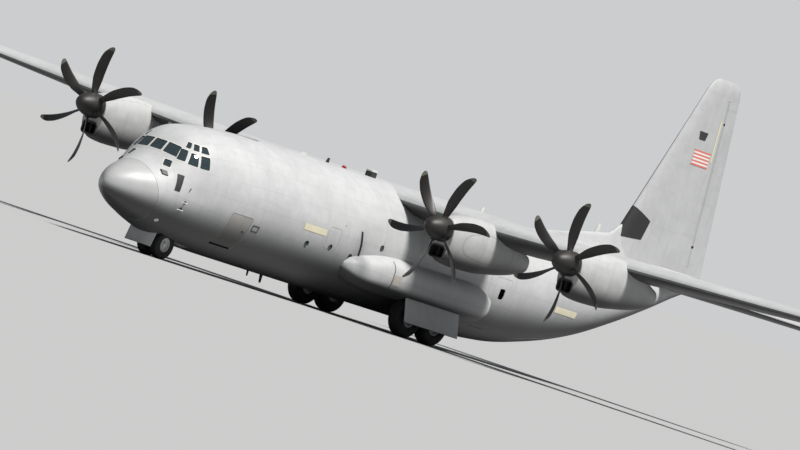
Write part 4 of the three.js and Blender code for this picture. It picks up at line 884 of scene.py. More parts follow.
cut_by(nose, *window_tools(0.0))
DOORWAY = rectangle(CREW_FRONT - DOOR_GAP, CREW_BACK + DOOR_GAP, CREW_SILL - SILL_GAP, CREW_TOP + DOOR_GAP)
cut_by(nose, side_prism("doorway", DOORWAY, 1, 3, 0.06), bay_box("bay", 0))
nose_solid = hull_tube("nose_solid", 2.4, 5.0, 16, inset=SKIN / 2, closed=True)
lining = cut_by(bay_box("nose_bay_lining", LINING), nose_solid, operation="INTERSECT")
cut_by(lining, bay_box("bay", 0))
fixed(nose, hull_paint, "airframe_paint", "nose_section")
fixed(lining, gear_white, "airframe_paint")
print("faces of the nose, its openings cut", faces(nose))

# %% [markdown]
# ### Window frames and panes
# The panes are flat heated glass in pale frames that stand a little proud of the skin. A patch of hull
# surface is rolled once, given a thickness, and trimmed to rims round each opening, so the rims follow the
# curve. The same patch, moved in, gives the panes, and dark rubber shows between them.

# %% Rims and panes
def hull_patch(name, start, end, low, high, columns, rows, inset):
    """A patch of the hull between two stations and two angles (degrees)."""
    def place(u, v):
        return at(*hull_point(lerp(start, end, v), math.radians(lerp(low, high, u)), inset))

    return shaped_grid(name, columns, rows, place)


def one_tool(tools):
    whole = tools[0]
    for tool in tools[1:]:
        cut_by(whole, tool, operation="UNION")
    return whole


def window_patch(name, inset, thickness, grow, hole=None):
    patch = hull_patch(name, 1.5, 3.75, -20, 200, 90, 40, inset)
    thicken(patch, thickness)
    cut_by(patch, one_tool(window_tools(grow)), operation="INTERSECT")
    if hole is not None:
        cut_by(patch, one_tool(window_tools(hole)))
    return patch


RIM_PROUD = 0.004
rims = window_patch("flight_deck_window_rims", -RIM_PROUD, SKIN / 2, FRAME_WIDTH, 0.0)
seal = window_patch("flight_deck_window_seals", 0.01, 0.012, 0.0, -0.016)
panes = window_patch("flight_deck_panes", 0.018, 0.01, 0.001)
fixed(rims, white_fitting, "airframe_paint")
fixed(seal, boot_black, "dark_panel")


def glass_material(name, tint, roughness, transmission):
    material, tree, shader, vector = start_material(name, tint, roughness)
    shader.inputs["Transmission Weight"].default_value = transmission
    shader.inputs["IOR"].default_value = 1.5
    haze = noise(tree, vector, 14.0, 4.0)
    tree.links.new(mixed(tree, haze, tint, shade(tint, 0.8)), shader.inputs["Base Color"])
    tree.links.new(math_node(tree, "MULTIPLY_ADD", haze, 0.05, roughness), shader.inputs["Roughness"])
    return material


pane_glass = glass_material("pane_glass", (0.14, 0.22, 0.25), 0.03, 0.8)
fixed(panes, pane_glass, "glass", "cockpit_glass")
print("window rims and panes:", faces(rims, panes))

# %% [markdown]
# ## The rest of the hull
# Three barrels and the tail cone follow the nose. Each barrel is the same tube between its own stations, so
# the seams between them stay as thin gaps. The wing sits on the centre barrel, the wheel wells open in its
# sides, and the loading end and the two jump doors are cut from the aft barrel.

# %% Forward barrel, tail cone
BARREL_GAP = 0.006


def barrel(name, start, end, rows):
    tube = hull_tube(name, start + BARREL_GAP / 2, end - BARREL_GAP / 2, rows)
    return thicken(tube, SKIN)


ROUND_WINDOWS = [(8.77, 1.97), (10.05, 2.09), (11.28, 1.99), (12.8, 2.59)]
WINDOW_RADIUS = 0.1175
EMERGENCY_EXIT = [(9.69, 2.0), (10.39, 2.0), (10.39, 2.77), (9.69, 2.77)]
EXIT_GAP = 0.009


def round_outline(y, z, radius, sides=28):
    turns = [2 * math.pi * i / sides for i in range(sides)]
    return [(y + radius * math.cos(turn), z + radius * math.sin(turn)) for turn in turns]


def side_pair(name, outline, low, high, corner=0.0):
    left = side_prism(name, outline, low, high, corner)
    right = side_prism(name, outline, -low, -high, corner)
    return [left, right]


forward = barrel("forward_skin", COCKPIT_END, CENTRE_START, 46)
for y, z in ROUND_WINDOWS:
    cut_by(forward, *side_pair("round_window", round_outline(y, z, WINDOW_RADIUS), 1.6, 2.4))
exit_tools = side_pair("exit", EMERGENCY_EXIT, 1.6, 2.4, 0.1)
exit_lids = copy_of(forward, "emergency_exits")
shrunk = side_pair("exit_lid", spread(EMERGENCY_EXIT, -EXIT_GAP), 1.6, 2.4, 0.1)
cut_by(exit_lids, one_tool(shrunk), operation="INTERSECT")
cut_by(forward, *exit_tools)
fixed(forward, hull_paint, "airframe_paint", "forward_fuselage")
fixed(exit_lids, hull_paint, "airframe_paint")

tail_cone = barrel("tail_cone_skin", TAIL_CONE_START, LENGTH - 0.01, 30)
fixed(tail_cone, hull_paint, "airframe_paint", "tail_cone")

WINDOW_BUTTON = 0.02
buttons = []
for y, z in ROUND_WINDOWS:
    for side in (1, -1):
        x = side * (hull_side(y, z) - SKIN)
        inner = (x - side * WINDOW_BUTTON, y, z)
        buttons.append(bar("pane", (x, y, z), inner, WINDOW_RADIUS + 0.02, sides=32))
cabin_panes = joined("cabin_windows", *buttons)
fixed(cabin_panes, pane_glass, "glass")
print("forward barrel faces", faces(forward))

# %% Centre barrel with its wheel wells
WELL_INNER, WELL_OUTER, WELL_BOTTOM, WELL_TOP = 1.66, 3.0, -0.2, 2.32
WELL_FRONT, WELL_BACK = 14.4, 17.65
WELL_LINING = 0.05


def well_box(name, side, grow):
    inner, outer = sorted((side * (WELL_INNER - grow), side * WELL_OUTER))
    low = (inner, WELL_FRONT - grow, WELL_BOTTOM)
    return box(name, low, (outer, WELL_BACK + grow, WELL_TOP + grow))


centre = barrel("centre_skin", CENTRE_START, AFT_START, 44)
cut_by(centre, well_box("well", 1, 0), well_box("well", -1, 0))
centre_solid = hull_tube("centre_solid", 14.0, 18.0, 12, inset=SKIN / 2, closed=True)
well_linings = []
for side in (1, -1):
    lining = well_box("wheel_well_lining", side, WELL_LINING)
    cut_by(lining, centre_solid, keep=True, operation="INTERSECT")
    cut_by(lining, well_box("well", side, 0))
    well_linings.append(lining)
drop(centre_solid)
wells = joined("wheel_well_linings", *well_linings)
fixed(wells, gear_white, "airframe_paint")

# %% Aft barrel, ramp and cargo door
RAMP_FRONT, RAMP_BACK, RAMP_HALF, RAMP_THICKNESS, RAMP_FRONT_GAP = 22.6, 25.7, 1.38, 0.3, 0.04
CARGO_FRONT, CARGO_BACK, CARGO_FRONT_HALF, CARGO_BACK_HALF, CARGO_THICKNESS = 25.74, 30.04, 1.34, 0.85, 0.16
RUNNING = 0.014
LIFT = 0.6


def ramp_plan(grow, front_grow):
    half = RAMP_HALF + grow
    return rectangle(-half, half, RAMP_FRONT - front_grow, RAMP_BACK + grow)


def cargo_plan(grow):
    front_half, back_half = CARGO_FRONT_HALF + grow, CARGO_BACK_HALF + grow
    front, back = CARGO_FRONT - grow, CARGO_BACK + grow * 4
    return [(-front_half, front), (front_half, front), (back_half, back), (-back_half, back)]


def below_skin(tool, depth, start, end):
    """Keeps the part of a tool that lies below the hull's surface lifted by a depth."""
    lifted = hull_tube("lifted", start, end, 30, closed=True)
    lifted.data.transform(Matrix.Translation((0, 0, depth * HALF)))
    return cut_by(tool, lifted)


aft = barrel("aft_skin", AFT_START, TAIL_CONE_START, 70)
tools = [
    below_skin(plan_prism("ramp_hole", ramp_plan(RUNNING, RAMP_FRONT_GAP), 0, 3), LIFT, 21.5, 28),
    below_skin(plan_prism("cargo_hole", cargo_plan(RUNNING), 0, 4.3), LIFT, 24.5, 31.2),
    below_skin(plan_prism("between", rectangle(-1.34, 1.34, 25.6, 25.85), 0, 3), LIFT, 24.5, 28),
]
cut_by(aft, *tools)
JUMP_DOOR = rectangle(19.62, 20.53, 1.06, 2.92)
JUMP_WINDOW = rectangle(19.95, 20.25, 2.2, 2.56)
whole_aft = copy_of(aft, "whole_aft")
cut_by(aft, *side_pair("jump_doorway", JUMP_DOOR, 1, 3, 0.08))
fixed(aft, hull_paint, "airframe_paint", "aft_fuselage")
for word, side, _ in SIDES:
    leaf = copy_of(whole_aft, f"jump_door_{word}")
    cut_by(leaf, side_prism("leaf", spread(JUMP_DOOR, -0.008), side, side * 3, 0.08), operation="INTERSECT")
    cut_by(leaf, side_prism("leaf_window", JUMP_WINDOW, side, side * 3, 0.06))
    fixed(leaf, hull_paint, "airframe_paint", f"paratroop_door_{word}")
drop(whole_aft)


def belly_leaf(name, plan, thickness, start, end):
    """A thick piece of the belly inside a plan, as deep as its thickness."""
    leaf = plan_prism(name, plan, 0, 4.3)
    cut_by(leaf, hull_tube("belly", start, end, 34, closed=True), operation="INTERSECT")
    return below_skin(leaf, thickness, start - 0.2, end + 0.2)


ramp_leaf = belly_leaf("ramp_leaf", ramp_plan(0, 0), RAMP_THICKNESS, 21.5, 27)
slant = [(0.01, 1.45), (1, 1.45), (1, 2.45), (-0.55, 2.45)]
cut_by(ramp_leaf, side_prism("ramp_end", [(RAMP_BACK + y, z) for y, z in slant], -2, 2))
cargo_leaf = belly_leaf("cargo_door_leaf", cargo_plan(0), CARGO_THICKNESS, 24.8, 31)
print("faces of aft barrel, ramp and cargo door", faces(aft, ramp_leaf, cargo_leaf))
fixed(centre, hull_paint, "airframe_paint", "centre_fuselage")
finish(ramp_leaf, "ramp", hull_paint, "airframe_paint", "ramp")
finish(cargo_leaf, "cargo_door", hull_paint, "airframe_paint", "cargo_door")

# %% [markdown]
# ## Wing
# The wing is a tapered box of ribs and spars with flaps and ailerons hung from its rear spar. A plain loft
# of one section could be drawn as a solid, but the moving surfaces need a round nose inside a matching
# cove, so the loft is made once, and the same region cuts the surface out of it and leaves the cove.

# %% Wing section and planform
ROOT_CHORD = 4.877
TIP_CHORD = 2.489
WING_BREAK = 5.588
WING_LEADING_EDGE = 14.1
WING_Z = 4.27
WING_DIHEDRAL = math.radians(2.5)
ROOT_THICKNESS = 0.18
TIP_THICKNESS = 0.12
ROOT_INCIDENCE = math.radians(3)
CAMBER = 0.02
EDGE_SHARE = 0.0035
SECTION_STEPS = 18
QUARTER = 0.25
SHARES = [(1 - math.cos(math.pi * i / SECTION_STEPS)) / 2 for i in range(SECTION_STEPS + 1)]


def half_thickness(x, ratio):
    shape = 0.2969 * math.sqrt(x) - 0.126 * x - 0.3516 * x**2 + 0.2843 * x**3 - 0.1015 * x**4
    return 5 * ratio * shape + EDGE_SHARE * x


def camber_line(x, camber):
    return 4 * camber * x * (1 - x)


def inclined(x, height, chord, incidence):
    """A point of a section of unit chord, turned about its quarter chord, as (aft, up) in metres."""
    aft, rise = (x - QUARTER) * chord, height * chord
    c, s = math.cos(incidence), math.sin(incidence)
    return chord * QUARTER + aft * c + rise * s, rise * c - aft * s


def section(chord, ratio, camber, incidence):
    """One closed section from the trailing edge, lower side first, as (aft, up) from the leading edge."""
    lower = [(x, camber_line(x, camber) - half_thickness(x, ratio)) for x in reversed(SHARES[1:])]
    upper = [(x, camber_line(x, camber) + half_thickness(x, ratio)) for x in SHARES]
    return [inclined(x, height, chord, incidence) for x, height in lower + upper]


def wing_at(x):
    outboard = max(0.0, (abs(x) - WING_BREAK) / (SPAN / 2 - WING_BREAK))
    chord = lerp(ROOT_CHORD, TIP_CHORD, outboard)
    return {
        "chord": chord,
        "lead": WING_LEADING_EDGE + (ROOT_CHORD - chord) / 4,
        "z": WING_Z + max(0.0, abs(x) - WING_BREAK) * math.tan(WING_DIHEDRAL),
        "ratio": lerp(ROOT_THICKNESS, TIP_THICKNESS, outboard),
        "incidence": lerp(ROOT_INCIDENCE, 0, outboard),
    }


def wing_ring(x, share=1.0):
    wing = wing_at(x)
    points = section(wing["chord"] * share, wing["ratio"] * share, CAMBER, wing["incidence"])
    start = wing["lead"] + wing["chord"] * (1 - share) / 2
    return [(x, start + aft, wing["z"] + rise) for aft, rise in points]


def wing_point(x, share):
    """A point of the middle surface of the wing and the half thickness there."""
    wing = wing_at(x)
    aft, up = inclined(share, camber_line(share, CAMBER), wing["chord"], wing["incidence"])
    return (x, wing["lead"] + aft, wing["z"] + up), half_thickness(share, wing["ratio"]) * wing["chord"]


def foil(name, rings):
    """A solid through rings of equal length, closed at both ends."""
    count = len(rings[0])

    def place(u, v):
        ring = rings[round(v * (len(rings) - 1))]
        return at(*ring[round(u * count) % count])

    return close_ends(shaped_grid(name, count, len(rings) - 1, place))


# %% Hang a movable surface on a fixed one
NOSE_SHARE = 0.93
NOSE_OVERLAP = 0.006
COVE = 0.06
LUG_HALF = 0.03
HINGE_SHARE = 0.75
END_ROOM = 0.006


def along(a, b, share):
    return tuple(lerp(p, q, share) for p, q in zip(a, b))


def hang(name, fixed, region, start, end, start_radius, end_radius, lugs):
    """Cuts a surface out of a fixed piece, rounds its nose on the hinge line and hangs it on flat lugs."""
    span = (Vector(end) - Vector(start)).length
    room = END_ROOM / span
    moving = copy_of(fixed, name)
    cut_by(moving, region(0), operation="INTERSECT")
    nose_ends = [along(start, end, room), along(start, end, 1 - room)]
    round_nose = bar("nose", *nose_ends, start_radius * NOSE_SHARE, end_radius * NOSE_SHARE, sides=36)
    cut_by(moving, round_nose, operation="UNION")
    cove_ends = [along(start, end, -RUNNING / span), along(start, end, 1 + RUNNING / span)]
    cove = bar("cove", *cove_ends, start_radius * NOSE_SHARE + COVE, end_radius * NOSE_SHARE + COVE, sides=36)
    cut_by(fixed, region(RUNNING), cove)
    axis = (Vector(end) - Vector(start)).normalized()
    for share in lugs:
        centre = Vector(along(start, end, share))
        radius = lerp(start_radius, end_radius, share) * NOSE_SHARE
        reach = LUG_HALF + RUNNING

        def round_tool(name, half, share_of_nose):
            return bar(name, tuple(centre - axis * half), tuple(centre + axis * half), radius * share_of_nose)

        cut_by(moving, round_tool("slot", reach, 1.12))
        cut_by(moving, round_tool("pin", reach + 0.02, 0.2), operation="UNION")
        eye = round_tool("eye", LUG_HALF, 0.5)
        forward = (Vector((0, -1, 0)) + axis * axis.y).normalized()
        across = axis.cross(forward)
        arm = box("arm", (-0.5, 0, -0.5), (0.5, 1, 0.5), body_metres=False)
        basis = Matrix((axis, forward, across)).transposed().to_4x4()
        size = Matrix.Diagonal((LUG_HALF * 2 * HALF, (radius + COVE + 0.04) * HALF, radius * 0.6 * HALF, 1))
        arm.data.transform(Matrix.Translation(at(*centre)) @ basis @ size)
        cut_by(eye, arm, operation="UNION")
        cut_by(eye, round_tool("hole", 0.1, 0.22))
        cut_by(fixed, eye, operation="UNION")
    return moving


def wing_surface(name, fixed, low, high, lugs):
    start, start_radius = wing_point(low, HINGE_SHARE)
    end, end_radius = wing_point(high, HINGE_SHARE)
    axis = Vector(end) - Vector(start)
    length = axis.length
    axis.normalize()
    aft = (Vector((0, 1, 0)) - axis * axis.y).normalized()
    basis = Matrix((axis, aft, axis.cross(aft))).transposed().to_4x4()

    def region(grow):
        tool = box("region", (-grow, NOSE_OVERLAP - grow, -1.5), (length + grow, 3, 1.5), body_metres=False)
        tool.data.transform(Matrix.Translation(at(*start)) @ basis @ Matrix.Scale(HALF, 4))
        return tool

    return hang(name, fixed, region, start, end, start_radius, end_radius, lugs)


# %% Make the wing, its flaps and its ailerons
WING_TIP = SPAN / 2
TIP_ROUND = 0.35
BREAK_GAP = 0.004
INBOARD_FLAP = (2.42, 5.45)
OUTBOARD_FLAP = (5.72, 12.3)
AILERON = (12.44, 19.55)
TIP_STEPS = 7


def both_sides(left, title, body, tool=None):
    """Mirrors a left piece and finishes both, each on the body of its side."""
    left.name = f"{title}_skin_left"
    for made, (side, _, _) in zip((left, mirrored_copy(left, f"{title}_skin_right")), SIDES):
        if tool:
            cut_by(made, tool, keep=True)
        finish(made, body.format(side), wing_paint, "airframe_paint", f"{title}_{side}")


inner_half = foil("inner_wing", [wing_ring(x) for x in spaced(0.0, WING_BREAK - BREAK_GAP / 2, 4)])
tip_rings = []
for i in range(1, TIP_STEPS + 1):
    turn = math.pi / 2 * i / TIP_STEPS
    x = WING_TIP - TIP_ROUND + TIP_ROUND * math.sin(turn)
    tip_rings.append(wing_ring(x, lerp(0.62, 1.0, math.cos(turn) ** 0.8)))
outer_stations = spaced(WING_BREAK + BREAK_GAP / 2, WING_TIP - TIP_ROUND, 14)
outer = foil("outer_wing_left", [wing_ring(x) for x in outer_stations] + tip_rings)

inboard_flap = wing_surface("inboard_flap_left", inner_half, *INBOARD_FLAP, (0.15, 0.85))
outboard_flap = wing_surface("outboard_flap_left", outer, *OUTBOARD_FLAP, (0.12, 0.88))
aileron = wing_surface("aileron_left", outer, *AILERON, (0.12, 0.88))
other_half = mirrored_copy(inner_half, "inner_wing_right")
centre_wing = clean(joined("centre_wing_skin", inner_half, other_half))
both_sides(outer, "outer_wing", "airframe")
both_sides(inboard_flap, "inboard_flap", "inboard_flap_{}")
both_sides(outboard_flap, "outboard_flap", "outboard_flap_{}")
both_sides(aileron, "aileron", "aileron_{}")
fixed(centre_wing, wing_paint, "airframe_paint", "centre_wing")
print("wing faces", faces(outer, centre_wing, aileron))

# %% [markdown]
# ## Tail
# The fin and the tailplane are thinner symmetrical foils with the same kind of hinge. The fin grows out of
# the hull's top through a long fillet, and its tip is rounded.

# %% Foils of the tail and their hinges
FIN_RATIO = 0.11
# place along the foil, leading edge, trailing edge, thickness ratio; the last rows round the tip off
FIN = [(4.6, 27.95, 34.0, FIN_RATIO), (11.25, 30.85, 32.87, FIN_RATIO)]
FIN_TIP = [
    (11.4, 30.95, 32.82, FIN_RATIO * 0.95),
    (11.52, 31.05, 32.75, FIN_RATIO * 0.85),
    (11.62, 31.18, 32.62, FIN_RATIO * 0.65),
    (11.7, 31.4, 32.36, FIN_RATIO * 0.35),
]
TAIL_Z = 4.5
TAILPLANE = [(0.2, 29.85, 34.02, 0.12), (7.8, 31.3, 33.42, 0.1)]
TAIL_TIP = [(7.88, 31.38, 33.38, 0.09), (7.96, 31.52, 33.28, 0.075), (8.02, 31.75, 33.1, 0.045)]
TAIL_ROWS = 10
# the ends of each surface along the foil, and where its hinge line lies there
RUDDER = [(5.22, 32.85), (11.05, 32.28)]
ELEVATOR = [(0.78, 32.86), (7.7, 32.72)]
ELEVATOR_SLANT = 0.12
BEHIND_TAIL = 36


def between(rows, v):
    """The numbers of a row between two, or beyond them, by their first number."""
    (low, *low_rest), (high, *high_rest) = rows
    return [lerp(a, b, (v - low) / (high - low)) for a, b in zip(low_rest, high_rest)]


def upright(y, side, v):
    return side, y, v


def level(y, side, v):
    return v, y, TAIL_Z + side


def tail_rings(rows, tip, placed):
    """Rings of a foil of the tail; placed() stands it upright or lays it level."""
    table = [(v, *between(rows, v)) for v in spaced(rows[0][0], rows[1][0], TAIL_ROWS)] + tip
    return [
        [placed(lead + aft, side, v) for aft, side in section(trail - lead, ratio, 0, 0)]
        for v, lead, trail, ratio in table
    ]


def tail_surface(name, fixed, rows, surface, placed, region, lugs):
    """Hangs a rudder or an elevator between the two ends of its hinge line."""
    ends, radii = [], []
    for v, y in surface:
        lead, trail, ratio = between(rows, v)
        ends.append(placed(y, 0.0, v))
        radii.append(half_thickness((y - lead) / (trail - lead), ratio) * (trail - lead))
    return hang(name, fixed, region, *ends, *radii, lugs)


def behind_hinge(surface, grow, slant=0.0):
    """The corners (along the foil, y) of the region behind a hinge line."""
    low, high = surface[0][0] - grow, surface[1][0] + grow
    (low_y,), (high_y,) = between(surface, low), between(surface, high)
    step = NOSE_OVERLAP - grow
    return [(low, low_y + step), (high, high_y + step), (high, BEHIND_TAIL), (low + slant, BEHIND_TAIL)]


# %% Fin and rudder
def rudder_region(grow):
    return side_prism("region", [(y, z) for z, y in behind_hinge(RUDDER, grow)], -1, 1)


fin_rings = tail_rings(FIN, FIN_TIP, upright)
fin = foil("fin_skin", fin_rings)
rudder = tail_surface("rudder_skin", fin, FIN, RUDDER, upright, rudder_region, (0.12, 0.86))
finish(rudder, "rudder", fin_paint, "airframe_paint", "rudder")

# %% Fillet ahead of the fin
# station, top, half width
DORSAL = [
    (23.4, 4.77, 0.03), (25.2, 5.03, 0.07), (27.0, 5.35, 0.13), (27.95, 5.5, 0.17), (28.6, 5.95, 0.16),
    (29.6, 6.02, 0.1),
]
DORSAL_SLOPES = slopes(DORSAL)
DORSAL_ARC = 16
DORSAL_FOOT = 4.6
DORSAL_FLARE = 1.6


def dorsal_place(u, v):
    y = lerp(DORSAL[0][0], DORSAL[-1][0], v)
    top, half = smooth_row(DORSAL, DORSAL_SLOPES, y)
    turn = math.pi * u
    flare = 1 + DORSAL_FLARE * (1 - math.sin(turn)) ** 3
    return at(half * math.cos(turn) * flare, y, lerp(DORSAL_FOOT, top, math.sin(turn) ** 0.8))


dorsal = shaped_grid("dorsal_fillet", DORSAL_ARC, 30, dorsal_place)
thicken(dorsal, SKIN)
fixed(dorsal, fin_paint, "airframe_paint")
fixed(fin, fin_paint, "airframe_paint", "fin")
print("fin and rudder faces", faces(fin, rudder))

# %% Tailplane and elevators
def elevator_region(grow):
    return plan_prism("region", behind_hinge(ELEVATOR, grow, ELEVATOR_SLANT), 3, 6)


tailplane = foil("tailplane_skin_left", tail_rings(TAILPLANE, TAIL_TIP, level))
elevator = tail_surface(
    "elevator_skin_left", tailplane, TAILPLANE, ELEVATOR, level, elevator_region, (0.1, 0.9)
)
tail_solid = hull_tube("tail_solid", 29, LENGTH, 30, closed=True)
both_sides(tailplane, "tailplane", "airframe", tail_solid)
both_sides(elevator, "elevator", "elevator_{}")
drop(tail_solid)
print("tailplane and elevator faces", faces(tailplane, elevator))

# %% [markdown]
# ## Nacelles
# A nacelle is formed sheet round an engine, deeper than wide, with a chin intake under the spinner and an
# exhaust at its lower back. It could be revolved, but its section changes from a round front to a flat
# tail, so it is made from rings like the hull. The intake is a rounded duct cut into the chin, with a proud
# lip and a lining, both painted near black: partly their own dark colour, partly painted shade under the
# spinner.

# %% Turned shapes
def turned(name, profile, centre, axis="y", turns=48):
    """A solid turned from an outline of (radius, distance along the axis) round a line through a centre."""
    steps = len(profile) - 1

    def place(u, v):
        radius, along_axis = profile[round(v * steps)]
        a, b = radius * math.cos(math.tau * u), radius * math.sin(math.tau * u)
        x, y, z = centre
        return at(x + a, y + along_axis, z + b) if axis == "y" else at(x + along_axis, y + a, z + b)

    return shaped_grid(name, turns, steps, place)


def rounded_profile(profile, steps):
    """The same outline, (radius, distance) by distance, on a smooth curve through its rows."""
    table = [(distance, radius) for radius, distance in profile]
    table_slopes = slopes(table)
    stations = [lerp(table[0][0], table[-1][0], (i / steps) ** 1.6) for i in range(steps + 1)]
    return [(smooth_row(table, table_slopes, y)[0], y) for y in stations]


# %% Nacelles
PROPELLER_Y = 11.6
ENGINE_PLACES = [(10.27, 4.08), (4.953, 3.84), (-4.953, 3.84), (-10.27, 4.08)]
# distance behind the propeller plane, half width, height above and depth below the shaft
NACELLE = [
    (0.32, 0.43, 0.43, 0.98),
    (0.6, 0.51, 0.53, 1.08),
    (1.2, 0.58, 0.64, 1.12),
    (2.2, 0.61, 0.7, 1.1),
    (3.1, 0.6, 0.66, 1.0),
    (4.0, 0.52, 0.42, 0.86),
    (4.6, 0.42, 0.2, 0.72),
    (5.1, 0.3, 0.04, 0.58),
]
NACELLE_SLOPES = slopes(NACELLE)
NACELLE_ROUND = 2 / 2.3
NACELLE_COLUMNS = 56
NACELLE_STEP = 0.12
INTAKE = (-0.27, 0.27, -0.92, -0.56)
DUCT_CORNER = 0.09


def nacelle_shape(name, start, end, inset, x, z):
    rings = []
    for back in spaced(start, end, max(3, round((end - start) / NACELLE_STEP))):
        half, above, below = smooth_row(NACELLE, NACELLE_SLOPES, back)
        ring = []
        for k in range(NACELLE_COLUMNS):
            turn = math.tau * k / NACELLE_COLUMNS
            across = squared_off(math.cos(turn), NACELLE_ROUND) * (half - inset)
            up = squared_off(math.sin(turn), NACELLE_ROUND) * ((above + below) / 2 - inset)
            ring.append((x + across, PROPELLER_Y + back, z + (above - below) / 2 + up))
        rings.append(ring)
    return foil(name, rings)


def intake_outline(x, z, grow):
    left, right, low, high = INTAKE
    return rectangle(x + left, x + right, z + low, z + high, grow)


def keep_largest(piece):
    """Leaves only the largest of the loose parts of a piece."""
    edit_all(piece)
    bpy.ops.mesh.separate(type="LOOSE")
    leave_edit()
    parts = sorted(bpy.context.selected_objects, key=lambda part: len(part.data.vertices))
    name, kept = piece.name, parts[-1]
    for part in parts[:-1]:
        drop(part)
    kept.name = name
    return kept


def behind(hub, back, down, aside=0.0):
    """A place behind and below a propeller's hub."""
    return hub[0] + aside, PROPELLER_Y + back, hub[1] - down


def duct_piece(name, hub, grow, start, end, corner=DUCT_CORNER):
    """A rounded block as wide as the intake plus a little, between two distances behind the propeller."""
    return front_prism(name, intake_outline(*hub, grow), PROPELLER_Y + start, PROPELLER_Y + end, corner)


def nacelle(number, hub):
    body = nacelle_shape(f"nacelle_skin_{number}", NACELLE[0][0], NACELLE[-1][0], 0.0, *hub)
    bevel_edges(body, 0.012, 3, 60)
    tools = [
        nacelle_shape("hollow", 0.45, 2.9, 0.06, *hub),
        duct_piece("duct", hub, 0.0, 0.0, 0.6),
        bar("exhaust", behind(hub, 2.7, 0.5), behind(hub, 5.3, 0.3), 0.19, sides=32),
        bar("shaft", behind(hub, 0, 0), behind(hub, 0.6, 0), 0.128, sides=32),
    ]
    cut_by(body, *tools)
    cut_by(body, wing_tool, keep=True)
    return keep_largest(body)


def intake_lip(hub):
    lip = duct_piece("lip", hub, 0.05, 0.27, 0.6, 0.13)
    cut_by(lip, duct_piece("mouth", hub, 0.0, 0.0, 0.9))
    return bevel_edges(lip, 0.008, 3, 50)


def intake_lining(hub):
    lining = duct_piece("lining", hub, 0.008, 0.3, 0.62)
    cut_by(lining, duct_piece("mouth", hub, -0.012, 0.2, 0.6))
    splitter = box("splitter", behind(hub, 0.36, 0.91, -0.01), behind(hub, 0.61, 0.57, 0.01))
    return joined("intake_lining", lining, bevel_edges(splitter, 0.003))


def exhaust_pipe(hub):
    """A dark pipe in the exhaust cut, its end proud of the nacelle's tail."""
    pipe = bar("pipe", behind(hub, 3.9, 0.408), behind(hub, 4.98, 0.325), 0.186, sides=36)
    return cut_by(pipe, bar("inside", behind(hub, 4.2, 0.385), behind(hub, 5.2, 0.308), 0.165, sides=36))


wing_tool = foil("wing_tool", [wing_ring(x) for x in spaced(-13.0, 13.0, 52)])
for number, hub in enumerate(ENGINE_PLACES, 1):
    skin = nacelle(number, hub)
    fixed(skin, nacelle_paint, "airframe_paint", f"nacelle_{number}")
    # The intake's lip and lining are painted near black: partly their own dark colour, partly painted shade
    # under the spinner.
    for word, make, paint in (
        ("intake_lip", intake_lip, dark_fitting),
        ("intake_lining", intake_lining, dark_fitting),
        ("exhaust_pipe", exhaust_pipe, engine_metal),
    ):
        fixed(joined(f"{word}_{number}", make(hub)), paint, "dark_panel")
drop(wing_tool)
print("nacelle faces", faces(skin))

# %% [markdown]
# ## Engines
# Each turboprop is out of sight in its nacelle, so it needs its size and its place more than its detail. A
# block would do; a turned case with flanges, a gearbox and two feet is hardly more work and looks like an
# engine.

# %% Engines
# radius and distance behind the propeller plane
ENGINE_CASE = [
    (0.0, 0.75), (0.17, 0.75), (0.21, 0.78), (0.22, 1.02), (0.27, 1.02), (0.27, 1.06), (0.24, 1.06),
    (0.25, 1.4), (0.29, 1.4), (0.29, 1.44), (0.25, 1.44), (0.26, 1.78), (0.29, 1.78), (0.29, 1.82),
    (0.24, 1.82), (0.2, 2.2), (0.0, 2.2),
]
# name, half width, front and back behind the propeller plane, top and bottom below the shaft
ENGINE_BLOCKS = [
    ("sump", 0.16, 0.85, 1.9, 0.2, 0.42),
    ("foot", 0.18, 1.0, 1.12, 0.38, 1.03),
    ("foot", 0.18, 1.75, 1.87, 0.38, 1.03),
]
for number, hub in enumerate(ENGINE_PLACES, 1):
    case = turned("case", ENGINE_CASE, behind(hub, 0, 0.05), turns=40)
    blocks = [
        bevel_edges(box(word, behind(hub, front, bottom, -half), behind(hub, back, top, half)), 0.006)
        for word, half, front, back, top, bottom in ENGINE_BLOCKS
    ]
    engine = joined(f"engine_case_{number}", case, *blocks)
    fixed(engine, engine_metal, "engine_metal", f"engine_{number}")
print("engine faces", faces(engine))

# %% [markdown]
# ## Propellers
# Six broad curved blades with pale tips stand in a dark pointed spinner. A blade could be bent from a flat
# strip, but it changes chord, twist and sweep all along, so it is lofted through one table of stations.

# %% Propellers
# radius, chord, lag behind the radial line, thickness ratio, pitch
BLADE = [
    (0.25, 0.16, 0.0, 0.9, 60),
    (0.62, 0.27, -0.02, 0.2, 54),
    (0.95, 0.35, -0.03, 0.1, 47),
    (1.35, 0.36, 0.0, 0.07, 39),
    (1.78, 0.32, 0.1, 0.055, 33),
    (2.057, 0.16, 0.25, 0.05, 30),
]
BLADE_SLOPES = slopes(BLADE)
BLADE_COUNT = 6
BLADE_POINTS = 20
TIP_ANGLES = (146.2, 127.6, 166.4, 145.4)
BLADE_END = BLADE[-1][0]
BLADE_START = 0.3
TIP_START = 1.93
CUFF = (0.3, 0.45)
# radius, distance behind the plane of the blades
SPINNER = [
    (0.0, -0.72), (0.12, -0.68), (0.22, -0.58), (0.31, -0.42), (0.38, -0.22), (0.415, 0.0), (0.42, 0.27),
]


